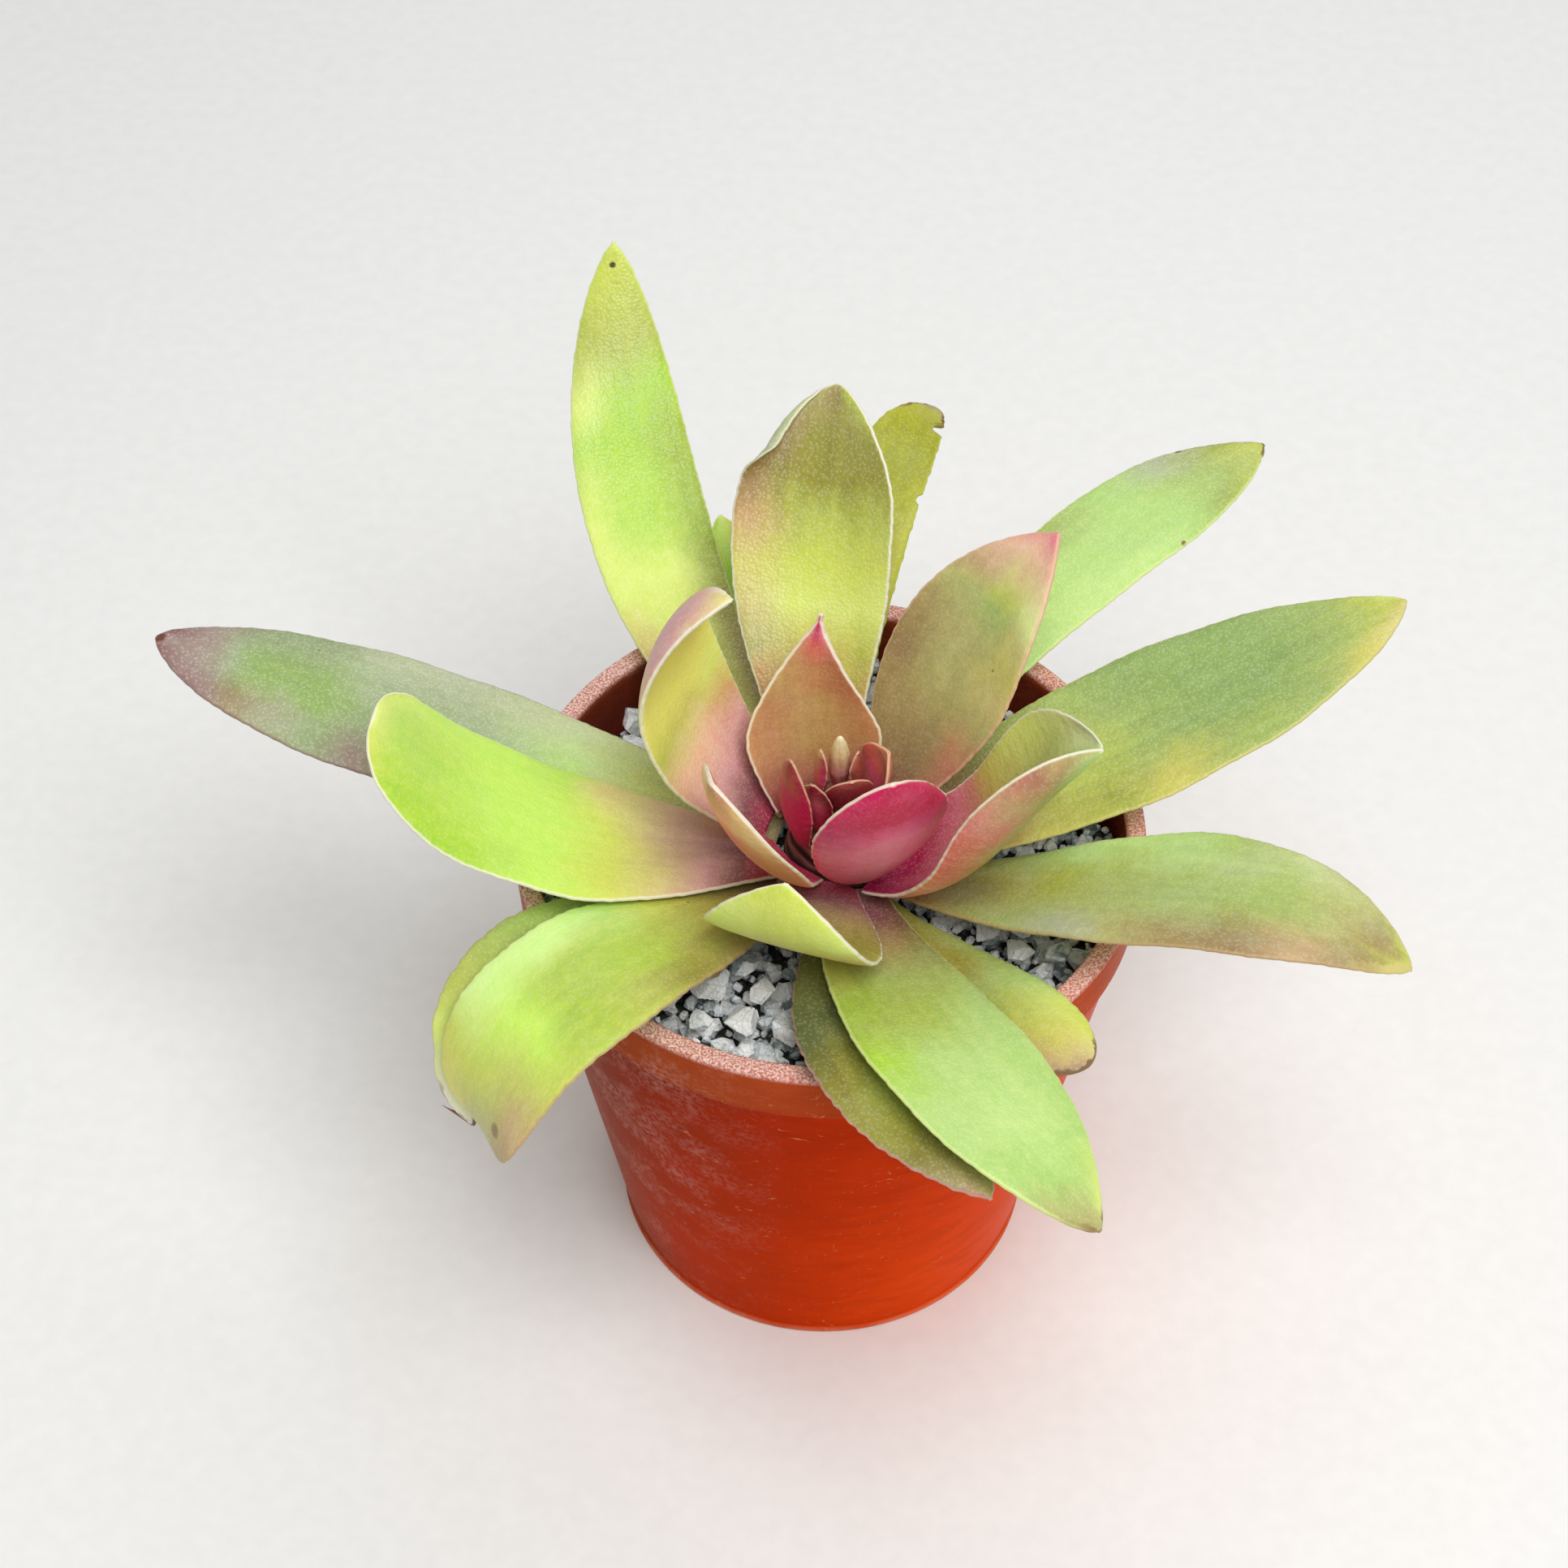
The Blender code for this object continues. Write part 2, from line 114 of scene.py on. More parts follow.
def ringFaces(rows, around):
    # quads between the rows of a closed grid, and the two fans that shut its ends. Points run
    # row by row, then the first end's pole and the last end's.
    row, step = np.meshgrid(np.arange(rows - 1), np.arange(around), indexing="ij")
    here, beside = row * around + step, row * around + (step + 1) % around
    quads = np.stack([here, beside, beside + around, here + around], -1).reshape(-1, 4)
    step = np.arange(around)
    ahead = (step + 1) % around
    last = (rows - 1) * around
    first = np.stack([ahead, step, np.full(around, rows * around)], -1)
    final = np.stack([last + step, last + ahead, np.full(around, rows * around + 1)], -1)
    return [quads, first, final]


def outwardFaces(points, faces):
    # turns every face round if the skin's signed volume is negative
    total = 0
    for part in faces:
        a, b, c = (points[part[:, i]] for i in (0, 1, 2))
        total += np.einsum("ij,ij->", a, np.cross(b, c))
        if part.shape[1] == 4:
            d = points[part[:, 3]]
            total += np.einsum("ij,ij->", a, np.cross(c, d))
    return [part[:, ::-1] for part in faces] if total < 0 else faces


def closedSkin(name, grid, material):
    # a (rows, around, 3) grid shut at both ends by a pole in the middle of its end ring
    rows, around = grid.shape[:2]
    points = np.concatenate([grid.reshape(-1, 3), [grid[0].mean(0)], [grid[-1].mean(0)]])
    return meshPiece(name, points, outwardFaces(points, ringFaces(rows, around)), material)


def softened(corners, steps=5, spacing=1.6):
    # an outline of (radius, height, rounding): each corner becomes a quadratic curve from
    # rounding before it to rounding after it, and long straights get points every spacing
    line = [np.array(corners[0][:2], float)]
    for before, corner, after in zip(corners, corners[1:], corners[2:]):
        p, a, b = (np.array(c[:2], float) for c in (corner, before, after))
        start, end = (p + (q - p) * min(corner[2] / np.linalg.norm(q - p), 0.5) for q in (a, b))
        if corner[2] == 0:
            line.append(p)
            continue
        for t in np.linspace(0, 1, steps):
            line.append((1 - t) ** 2 * start + 2 * t * (1 - t) * p + t**2 * end)
    line.append(np.array(corners[-1][:2], float))
    fine = [line[0]]
    for p, q in zip(line, line[1:]):
        parts = max(1, math.ceil(np.linalg.norm(q - p) / spacing))
        fine += [p + (q - p) * k / parts for k in range(1, parts + 1)]
    return np.array(fine)


# The camera.
cameraLook = dict(lens=72.67, sensor=36, height=49.6, distance=0.4, target=0.075, tilt=0.72, pan=1.29,
                  roll=0.37)


def addCamera(look):
    # It stands in front of the pot's rim at an angle of height over it, and looks tilt
    # higher, pan to the left and roll about its own line of sight.
    height, pitch = math.radians(look["height"]), math.radians(look["height"] - look["tilt"])
    pan, roll = math.radians(look["pan"]), math.radians(look["roll"])
    place = Vector((0, -math.cos(height), math.sin(height))) * look["distance"]
    place.z += look["target"]
    ahead = Vector((-math.sin(pan) * math.cos(pitch), math.cos(pan) * math.cos(pitch), -math.sin(pitch)))
    right = ahead.cross(Vector((0, 0, 1))).normalized()
    above = right.cross(ahead)
    across = math.cos(roll) * right + math.sin(roll) * above
    upright = math.cos(roll) * above - math.sin(roll) * right
    camera = bpy.data.cameras.new("camera")
    camera.lens = look["lens"]
    camera.sensor_width = look["sensor"]
    stand = bpy.data.objects.new("camera", camera)
    turn = Matrix((across, upright, -ahead)).transposed().to_4x4()
    turn.translation = place
    stand.matrix_world = turn
    bpy.context.scene.collection.objects.link(stand)
    bpy.context.scene.camera = stand


addCamera(cameraLook)
print("camera placed")

# The pot. Sizes in millimetres, the CAD pot's own.
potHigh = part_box("pot")[1]
potSize = dict(
    height=potHigh.z / mm, topRadius=potHigh.x / mm, baseRadius=28, wall=1.2, floor=1.6, lipWidth=2.6,
    bandHeight=8, bandStep=1.2, bead=0.5, segments=256,
    drainCount=6, drainRadius=3.2, drainCircle=15,
)


def potOuterRadius(z):
    base, top = potSize["baseRadius"], potSize["topRadius"] - potSize["bandStep"]
    return base + (top - base) * z / (potSize["height"] - potSize["bandHeight"])


def potInnerRadius(z):
    return potOuterRadius(min(z, potSize["height"] - potSize["bandHeight"])) - potSize["wall"]


def pottedPlastic():
    # Injection-moulded polypropylene: a deep orange-red with a clear depth to it. It is painted
    # darker and browner on one side as shade away from the light, hazed there by scuffs, crossed
    # by curled hair scratches, and the lip is rubbed down to a pale glitter.
    material, tree = newMaterial("terracotta polypropylene")
    spot = addNode(tree, "ShaderNodeTexCoord").outputs["Object"]
    parts = addNode(tree, "ShaderNodeSeparateXYZ", links={0: spot})
    across, height = parts.outputs["X"], parts.outputs["Z"]
    tall, wide = potSize["height"] * mm, potSize["topRadius"] * mm
    bandFoot = tall - potSize["bandHeight"] * mm
    # the pigment swirls are drawn out round the pot by the flow of the melt
    turned = addNode(tree, "ShaderNodeMapping", values={"Scale": (1, 1, 3.5)}, links={"Vector": spot})
    cloud, grain, sparks, patch, curl, swirl, some = (
        addNode(tree, "ShaderNodeTexNoise",
                values={"Scale": 1 / (size * mm), "Detail": detail, "Roughness": roughness,
                        "Distortion": twist},
                links={"Vector": vector})
        for size, detail, roughness, twist, vector in (
            (16, 4, 0.5, 0, spot), (0.7, 5, 0.5, 0, spot), (0.3, 3, 0.5, 0, spot), (9, 5, 0.65, 0, spot),
            (3, 1, 0.5, 1.5, spot), (9, 5, 0.5, 0.8, turned), (2.4, 2, 0.5, 0, turned)))
    # a hair scratch is the thin line where the curl noise crosses its middle
    off = addNode(tree, "ShaderNodeMath", {"operation": "SUBTRACT"}, {1: 0.5}, {0: curl})
    line = addNode(tree, "ShaderNodeMath", {"operation": "ABSOLUTE"}, links={0: off})
    # positive on the outside and negative on the inner wall
    facing = addNode(tree, "ShaderNodeVectorMath", {"operation": "DOT_PRODUCT"},
                     links={0: addNode(tree, "ShaderNodeNewGeometry").outputs["Normal"], 1: spot})
    # each share goes from bottom to top as its source goes from low to high
    share = {}
    for word, source, low, high, bottom, top in (
            ("side", across, -wide, wide, 0, 1),
            ("sway", cloud, 0, 1, -0.12, 0.12),
            ("rise", height, 0.1 * tall, 0.85 * tall, 0, 1),
            ("band", height, bandFoot - 1.2 * mm, bandFoot + 1.2 * mm, 0, 0.6),
            ("swirl", swirl, 0.45, 0.75, 0, 0.22),
            ("scuffedSide", across, -0.1 * wide, -0.65 * wide, 0, 1),
            ("patch", patch, 0.46, 0.66, 0, 1),
            ("dusting", grain, 0.4, 0.66, 0, 0.55),
            ("line", line, 0.004, 0.012, 1, 0),
            ("some", some, 0.57, 0.62, 0, 0.4),
            ("foot", height, 1.3 * mm, 0.5 * mm, 0, 1),
            ("rubbed", patch, 0.4, 0.6, 0.35, 0.85),
            ("top", height, tall - 1.0 * mm, tall - 0.1 * mm, 0, 1),
            ("glitter", sparks, 0.42, 0.6, 0.22, 0.95),
            ("inward", facing.outputs["Value"], -2 * mm, -8 * mm, 0, 1),
            ("sunk", height, tall - 0.4 * mm, tall - 2 * mm, 0, 1),
            ("innerMottle", grain, 0.3, 0.6, 0.7, 0.95)):
        share[word] = addNode(tree, "ShaderNodeMapRange", None,
                              {"From Min": low, "From Max": high, "To Min": bottom, "To Max": top},
                              {"Value": source})
    for word, operation, first, second in (
            ("swayed", "ADD", "side", "sway"),
            ("patchy", "MULTIPLY", "patch", "dusting"),
            ("scuff", "MULTIPLY", "patchy", "scuffedSide"),
            ("hair", "MULTIPLY", "line", "some"),
            ("bead", "MULTIPLY", "foot", "rubbed"),
            ("lip", "MULTIPLY", "top", "glitter"),
            ("inner", "MULTIPLY", "inward", "sunk"),
            ("innerDarker", "MULTIPLY", "inner", "innerMottle"),
            ("hazed", "ADD", "scuff", "lip")):
        share[word] = addNode(tree, "ShaderNodeMath", {"operation": operation},
                              links={0: share[first], 1: share[second]})
    # painted shade: the darker brown left side to the bright orange right side, low on the wall and high
    low, high = (
        addNode(tree, "ShaderNodeValToRGB", {"stops": [(at, linearColour(code)) for at, code in stops]},
                links={"Fac": share["swayed"]})
        for stops in (
            [(0.15, "#a03608"), (0.3, "#bc3200"), (0.5, "#d43a00"), (0.7, "#f04a00"), (1, "#f24e00")],
            [(0.15, "#842e12"), (0.3, "#9c2a04"), (0.45, "#b02a00"), (0.65, "#d63600"), (1, "#da3e00")]))
    skin = addNode(tree, "ShaderNodeMix", {"data_type": "RGBA"},
                   links={0: share["rise"], 6: low, 7: high}).outputs[2]
    # the rim band is double walled and lets more light back; the foot's bead and the lip are
    # rubbed pale; the inner wall is darker brown below the lip, in a mottle
    for code, word in (("#b4562c", "band"), ("#8c1c00", "swirl"), ("#dcb0a8", "scuff"), ("#e8976c", "hair"),
                       ("#ee9474", "bead"), ("#fcd6ce", "lip"), ("#7a3426", "innerDarker")):
        skin = addNode(tree, "ShaderNodeMix", {"data_type": "RGBA"}, {7: linearColour(code)},
                       {0: share[word], 6: skin}).outputs[2]
    rough = addNode(tree, "ShaderNodeMath", {"operation": "MULTIPLY_ADD"}, {1: 0.6, 2: 0.26},
                    {0: share["hazed"]})
    relief = addNode(tree, "ShaderNodeBump", values={"Strength": 0.08, "Distance": 0.3 * mm},
                     links={"Height": swirl})
    fineRelief = addNode(tree, "ShaderNodeBump", values={"Strength": 0.12, "Distance": 0.15 * mm},
                      links={"Height": grain, "Normal": relief})
    shader = addNode(tree, "ShaderNodeBsdfPrincipled", values={"IOR": 1.49, "Specular IOR Level": 0.005},
                     links={"Base Color": skin, "Roughness": rough, "Normal": fineRelief})
    endMaterial(tree, shader)
    return material


def makePot(material):
    # a profile carried round the axis: radius r and height z turn into (r cos t, r sin t, z)
    size = potSize
    high, rim, foot = size["height"], size["topRadius"], size["height"] - size["bandHeight"]
    lip = rim - size["lipWidth"]
    outline = softened([
        (0, size["floor"], 0),
        (potInnerRadius(size["floor"]), size["floor"], 1.2),
        (potInnerRadius(foot), foot, 1.0),
        (lip, high, 0.8),
        (rim, high, 0.7),
        (rim - 0.4, foot, 0.35),
        (potOuterRadius(foot - 0.8), foot - 0.8, 0.4),
        (potOuterRadius(1.2), 1.2, 0.4),
        (size["baseRadius"] + size["bead"], 0.8, 0.3),
        (size["baseRadius"] + size["bead"], 0.35, 0.25),
        (size["baseRadius"], 0, 0.15),
        (0, 0, 0),
    ])[1:-1]
    turn = np.linspace(0, math.tau, size["segments"], endpoint=False)
    r, z = outline[:, :1], outline[:, 1:]
    grid = np.stack([r * np.cos(turn), r * np.sin(turn), z + 0 * turn], -1)
    pot = closedSkin("moulded_pot", grid, material)
    cutters = []
    for index in range(size["drainCount"]):
        away = math.tau * index / size["drainCount"]
        place = Vector((math.cos(away), math.sin(away), 0)) * size["drainCircle"]
        bm = bmesh.new()
        bmesh.ops.create_cone(bm, cap_ends=True, segments=48, radius1=size["drainRadius"] * mm,
                              radius2=size["drainRadius"] * mm, depth=6 * mm,
                              matrix=Matrix.Translation(place * mm))
        mesh = bpy.data.meshes.new("drain")
        bm.to_mesh(mesh)
        bm.free()
        cutters.append(bpy.data.objects.new("drain", mesh))
        bpy.context.scene.collection.objects.link(cutters[-1])
        hole = pot.modifiers.new("drain", "BOOLEAN")
        hole.operation, hole.solver, hole.object = "DIFFERENCE", "EXACT", cutters[-1]
    bpy.context.view_layer.update()
    cut = bpy.data.meshes.new_from_object(pot.evaluated_get(bpy.context.evaluated_depsgraph_get()))
    pot.modifiers.clear()
    pot.data = cut
    for cutter in cutters:
        bpy.data.objects.remove(cutter)
    cut.shade_smooth()
    cut.set_sharp_from_angle(angle=math.radians(50))
    placePiece(pot, "pot", "pot")


makePot(pottedPlastic())
print("pot turned and drilled")

# What fills the pot and grows in it. Sizes in millimetres, the CAD model's own.
gritTop = 69
plant = dict(
    x=1.0, y=-1.5, rest=gritTop, stemRadius=7, edgeShare=0.3, thinFoot=0.45,
    rows=150, around=56, fine=160,
)
gritSize = dict(
    chipKinds=14, corners=16, seed=7, stemGap=6, bedDrop=3.4, ceiling=69.6, stonePlanes=12,
    nets=[  # spacing, smallest and largest chip, least and most depth of its middle
        (3.3, 2.4, 4.4, 1.5, 2.5), (1.75, 1.0, 2.2, 0.9, 2.6),
    ],
)


def pottingBark():
    # Composted bark and peat: matt near-black crumbs with brown fibres.
    material, tree = newMaterial("composted bark")
    spot = addNode(tree, "ShaderNodeTexCoord").outputs["Object"]
    crumbs = addNode(tree, "ShaderNodeTexVoronoi", values={"Scale": 1 / (2.2 * mm)}, links={"Vector": spot})
    fibre = addNode(tree, "ShaderNodeTexNoise", values={"Scale": 1 / (1.1 * mm), "Detail": 6},
                    links={"Vector": spot})
    colour = addNode(tree, "ShaderNodeValToRGB", {"stops": [
        (0.3, linearColour("#1c1410")), (0.55, linearColour("#3a2a1e")), (0.75, linearColour("#6a4a30")),
    ]}, links={"Fac": fibre})
    relief = addNode(tree, "ShaderNodeBump", values={"Strength": 0.9, "Distance": 0.8 * mm},
                     links={"Height": crumbs})
    shader = addNode(tree, "ShaderNodeBsdfPrincipled", values={"Roughness": 0.95},
                     links={"Base Color": colour, "Normal": relief})
    endMaterial(tree, shader)
    return material


def quartzGrit():
    # Crushed white quartz: clear grey and milky white broken faces, each with its own
    # brightness, cracked every 1.5 mm or so, with sugary grain and a little brown dust.
    material, tree = newMaterial("crushed quartz")
    spot = addNode(tree, "ShaderNodeTexCoord").outputs["Object"]
    tone = addNode(tree, "ShaderNodeAttribute", {"attribute_name": "chipTone"}).outputs["Fac"]
    sugar = addNode(tree, "ShaderNodeTexNoise", values={"Scale": 1 / (0.4 * mm), "Detail": 4},
                    links={"Vector": spot})
    milk = addNode(tree, "ShaderNodeTexNoise", values={"Scale": 1 / (1.4 * mm), "Detail": 5,
                                                       "Distortion": 0.8},
                   links={"Vector": spot})
    cracks = addNode(tree, "ShaderNodeTexVoronoi", {"feature": "DISTANCE_TO_EDGE"},
                     {"Scale": 1 / (1.5 * mm)},
                     {"Vector": spot})
    drift = addNode(tree, "ShaderNodeMapRange", values={"From Min": 0.3, "From Max": 0.7, "To Min": -0.22,
                                                        "To Max": 0.22},
                    links={"Value": milk})
    shade = addNode(tree, "ShaderNodeMath", {"operation": "ADD"}, links={0: tone, 1: drift})
    base = addNode(tree, "ShaderNodeValToRGB", {"stops": [
        (0.0, linearColour("#5e686e")), (0.16, linearColour("#98a6ae")), (0.36, linearColour("#ccd6da")),
        (0.56, linearColour("#f4f8fa")), (0.74, linearColour("#ffffff")),
    ]}, links={"Fac": shade})
    speck = addNode(tree, "ShaderNodeMapRange", values={"From Min": 0.62, "From Max": 0.72, "To Max": 0.6},
                    links={"Value": sugar})
    flecked = addNode(tree, "ShaderNodeMix", {"data_type": "RGBA"}, {7: linearColour("#7c6e5c")},
                      {0: speck, 6: base})
    crack = addNode(tree, "ShaderNodeMapRange", values={"From Max": 0.05, "To Min": 0.35, "To Max": 0},
                    links={"Value": cracks})
    cracked = addNode(tree, "ShaderNodeMix", {"data_type": "RGBA"}, {7: linearColour("#5c666a")},
                      {0: crack, 6: flecked.outputs[2]})
    rough = addNode(tree, "ShaderNodeMapRange", values={"From Min": 0.3, "From Max": 0.7, "To Min": 0.1,
                                                        "To Max": 0.5},
                    links={"Value": milk})
    relief = addNode(tree, "ShaderNodeBump", values={"Strength": 0.5, "Distance": 0.2 * mm},
                     links={"Height": sugar})
    fineRelief = addNode(tree, "ShaderNodeBump", values={"Strength": 0.35, "Distance": 0.3 * mm},
                      links={"Height": cracks, "Normal": relief})
    shader = addNode(tree, "ShaderNodeBsdfPrincipled",
                     values={"IOR": 1.54, "Subsurface Weight": 0.12, "Subsurface Scale": 0.6 * mm,
                             "Subsurface Radius": (1, 1, 1)},
                     links={"Base Color": cracked.outputs[2], "Roughness": rough, "Normal": fineRelief})
    endMaterial(tree, shader)
    return material


def gritShadeBed():
    # Painted shade: a near-black rough bed under the chips stands for the shadow in the gaps between them,
    # with a few pale grains.
    material, tree = newMaterial("painted shade grit bed")
    spot = addNode(tree, "ShaderNodeTexCoord").outputs["Object"]
    fines = addNode(tree, "ShaderNodeTexNoise", values={"Scale": 1 / (0.8 * mm), "Detail": 6},
                    links={"Vector": spot})
    colour = addNode(tree, "ShaderNodeValToRGB", {"stops": [
        (0.35, linearColour("#161714")), (0.6, linearColour("#4c4e48")), (0.75, linearColour("#9a9c96")),
    ]}, links={"Fac": fines})
    relief = addNode(tree, "ShaderNodeBump", values={"Strength": 1, "Distance": 0.6 * mm},
                     links={"Height": fines})
    shader = addNode(tree, "ShaderNodeBsdfPrincipled", values={"Roughness": 0.9},
                     links={"Base Color": colour, "Normal": relief})
    endMaterial(tree, shader)
    return material


def makeBed(material):
    # a lumpy disc that fills the grit's solid up to bedDrop under its top
    size = gritSize
    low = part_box("grit_layer")[0].z / mm
    high = gritTop - size["bedDrop"]
    outer = potInnerRadius(low) - 0.3
    outline = softened([(0, high, 0), (outer, high, 0.6), (outer, low, 0), (0, low, 0)])[1:-1]
    turn = np.linspace(0, math.tau, 160, endpoint=False)
    r, z = outline[:, :1], outline[:, 1:]
    x, y = r * np.cos(turn), r * np.sin(turn)
    lumps = 0.35 * np.sin(1.7 * x + 0.6 * y) * np.sin(1.5 * y - 0.8 * x) + 0.2 * np.sin(3.1 * x + 2.3 * y)
    grid = np.stack([x, y, z + lumps * (z > high - 0.1)], -1)
    placePiece(closedSkin("grit_bed", grid, material), "grit", "grit_layer")


def fibonacciBall(count):
    # directions spread evenly over a ball: height falls in equal steps, and each turns on by
    # the golden angle
    step = np.arange(count) + 0.5
    z = 1 - 2 * step / count
    turn = step * math.pi * (3 - math.sqrt(5))
    return np.stack([np.sqrt(1 - z**2) * np.cos(turn), np.sqrt(1 - z**2) * np.sin(turn), z], -1)


def chipShape(random, corners):
    # the hull of jittered directions, each pushed in or out: flat faces meeting at sharp edges
    points = fibonacciBall(corners) + random.normal(0, 0.28, (corners, 3))
    points *= random.uniform(0.75, 1.1, (corners, 1)) / np.linalg.norm(points, axis=1, keepdims=True)
    bm = bmesh.new()
    for point in points:
        bm.verts.new(point)
    bmesh.ops.convex_hull(bm, input=bm.verts)
    bmesh.ops.delete(bm, geom=[v for v in bm.verts if not v.link_faces], context="VERTS")
    bm.verts.index_update()
    shape = np.array([v.co for v in bm.verts]), np.array([[v.index for v in f.verts] for f in bm.faces])
    bm.free()
    return shape


def randomTurns(random, count):
    # rotation matrices from unit quaternions (w, x, y, z)
    w, x, y, z = random.normal(size=(count, 4)).T
    size = np.sqrt(w * w + x * x + y * y + z * z)
    w, x, y, z = w / size, x / size, y / size, z / size
    rows = [
        [1 - 2 * (y * y + z * z), 2 * (x * y - z * w), 2 * (x * z + y * w)],
        [2 * (x * y + z * w), 1 - 2 * (x * x + z * z), 2 * (y * z - x * w)],
        [2 * (x * z - y * w), 2 * (y * z + x * w), 1 - 2 * (x * x + y * y)],
    ]
    return np.moveaxis(np.array(rows), -1, 0)


def makeChips(material):
    # big chips on a jittered hexagonal net, and small ones on a finer net that fill between
    size = gritSize
    random = np.random.default_rng(size["seed"])
    kinds = [chipShape(random, size["corners"]) for _ in range(size["chipKinds"])]
    step = np.arange(-30, 31)
    nets = []
    for spacing, small, large, least, most in size["nets"]:
        column, row = np.meshgrid(step, step)
        x, y = (column + 0.5 * (row % 2)) * spacing, row * spacing * math.sqrt(3) / 2
        count, loose = x.size, 0.35 * spacing
        nets.append(np.stack([
            x.ravel() + random.uniform(-loose, loose, count),
            y.ravel() + random.uniform(-loose, loose, count),
            gritTop - random.uniform(least, most, count), random.uniform(small, large, count),
        ], -1))
    places, across = np.split(np.concatenate(nets), [3], axis=1)
    fromAxis = np.hypot(places[:, 0], places[:, 1])
    fromStem = np.hypot(places[:, 0] - plant["x"], places[:, 1] - plant["y"])
    inPot = fromAxis + across[:, 0] * 0.55 < potInnerRadius(gritTop) - 0.2
    keep = inPot & (fromStem > size["stemGap"])
    places, across = places[keep], across[keep, 0]
    turns = randomTurns(random, len(places))
    squash = random.uniform(0.7, 1.2, (len(places), 1, 3))
    tones = random.beta(1.6, 1.3, len(places))
    which = random.integers(0, len(kinds), len(places))
    allPoints, allFaces, allTones, used = [], [], [], 0
    for kind, (shape, faces) in enumerate(kinds):
        mine = np.flatnonzero(which == kind)
        points = np.einsum("nij,npj->npi", turns[mine], shape[None] * squash[mine])
        points *= across[mine, None, None] / 2
        points += places[mine, None]
        over = np.maximum(points[:, :, 2].max(1) - size["ceiling"], 0)
        points[:, :, 2] -= over[:, None]
        firsts = used + np.arange(len(mine)) * len(shape)
        allFaces.append((faces[None] + firsts[:, None, None]).reshape(-1, 3))
        allPoints.append(points.reshape(-1, 3))
        allTones.append((tones[mine, None] + random.normal(0, 0.13, (len(mine), len(faces)))).ravel())
        used += len(mine) * len(shape)
    chips = meshPiece("grit_chips", np.concatenate(allPoints), np.concatenate(allFaces), material,
                      smooth=False)
    addPieceData(chips, "chipTone", np.concatenate(allTones), "FACE")
    placePiece(chips, "grit")
    print("grit:", len(places), "chips")


def makeStones(material):
    # each loose stone: a ball cut by random planes, r(d) = least of reach / (d . plane), its
    # edges worn by a soft minimum and its faces pitted, then stretched to its solid's box
    bm = bmesh.new()
    bmesh.ops.create_icosphere(bm, subdivisions=5, radius=1)
    ball = np.array([v.co for v in bm.verts])
    faces = np.array([[v.index for v in f.verts] for f in bm.faces])
    bm.free()
    nodes = sorted(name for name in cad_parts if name.startswith("stone_"))
    for index, node in enumerate(nodes):
        random = np.random.default_rng(900 + index)
        count = gritSize["stonePlanes"]
        planes = fibonacciBall(count) + random.normal(0, 0.3, (count, 3))
        planes /= np.linalg.norm(planes, axis=1, keepdims=True)
        facing = np.maximum(ball @ planes.T, 0.05) / random.uniform(0.62, 1.0, count)
        sharp = 70
        r = (facing**sharp).sum(1) ** (-1 / sharp)
        swell = sum(
            np.sin(ball @ random.normal(0, wave, 3) + random.uniform(0, 6)) * height
            for wave, height in ((6, 0.015), (14, 0.012), (30, 0.007)))
        points = ball * (r * (1 + swell))[:, None]
        low, high = (np.array(corner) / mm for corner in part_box(node))
        points = low + (points - points.min(0)) / np.ptp(points, axis=0) * (high - low)
        stone = meshPiece("quartz_" + node, points, faces, material)
        stone.data.set_sharp_from_angle(angle=math.radians(28))
        cutBy = facing.argmax(1)[faces[:, 0]]
        tones = random.uniform(0.4, 0.85) + random.normal(0, 0.14, count)
        addPieceData(stone, "chipTone", tones[cutBy], "FACE")
        placePiece(stone, "grit", node)
    print("stones:", len(nodes))


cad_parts["potting_mix"].data.materials.clear()
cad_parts["potting_mix"].data.materials.append(pottingBark())
makeBed(gritShadeBed())
quartz = quartzGrit()
makeChips(quartz)
makeStones(quartz)

# Colours of living leaf, from bleached lime to anthocyanin red.
paint = dict(
    brightLime="#c8f062", lime="#bee25a", deepLime="#b0d83e", lemonLime="#e0f07c", lemonYellow="#f4f478",
    paleLime="#e8f4a0", yellowLime="#d4e05c", goldLime="#d2cc62", chartreuse="#bec858",
    freshGreen="#b6d878", paleGreen="#c6e488", leafGreen="#a6ba60", grassGreen="#92ae5e",
    meadow="#a6be46", sage="#9aaa7c", paleSage="#c6d090", greySage="#b6be98", khaki="#b8b670",
    oliveLime="#a8b048", olive="#a09c3e", darkOlive="#8c8434", deepOlive="#6a7040",
    mustardOlive="#a0a208", mustard="#b6b61c", straw="#d8cc80", bronze="#a8945c", bronzePink="#c4a476",
    umber="#987c4c", brown="#7a5a3c", bark="#6a3424", mauveBrown="#9c7e78", plum="#8a5058",
    mauvePink="#d09c9a", wine="#8c2040", magenta="#b0184c", cerise="#cc2460", raspberry="#c84470",
    hotPink="#ec5c92", coralPink="#f07ea0", coral="#e48080", coralRed="#dc6660", salmon="#f2a084",
    peach="#f0c490", blush="#e6ba9a", amber="#c8905c", sienna="#b87850", terracotta="#cc8c6c",
    tan="#cca468", ochre="#c4a05e", rust="#b47058", rose="#d87884", crimson="#84142a",
    darkCrimson="#600c18", brick="#9a443c", cream="#f4efd8", black="#1c160e", vividCerise="#cc0a58",
    deepMagenta="#aa0058",
)
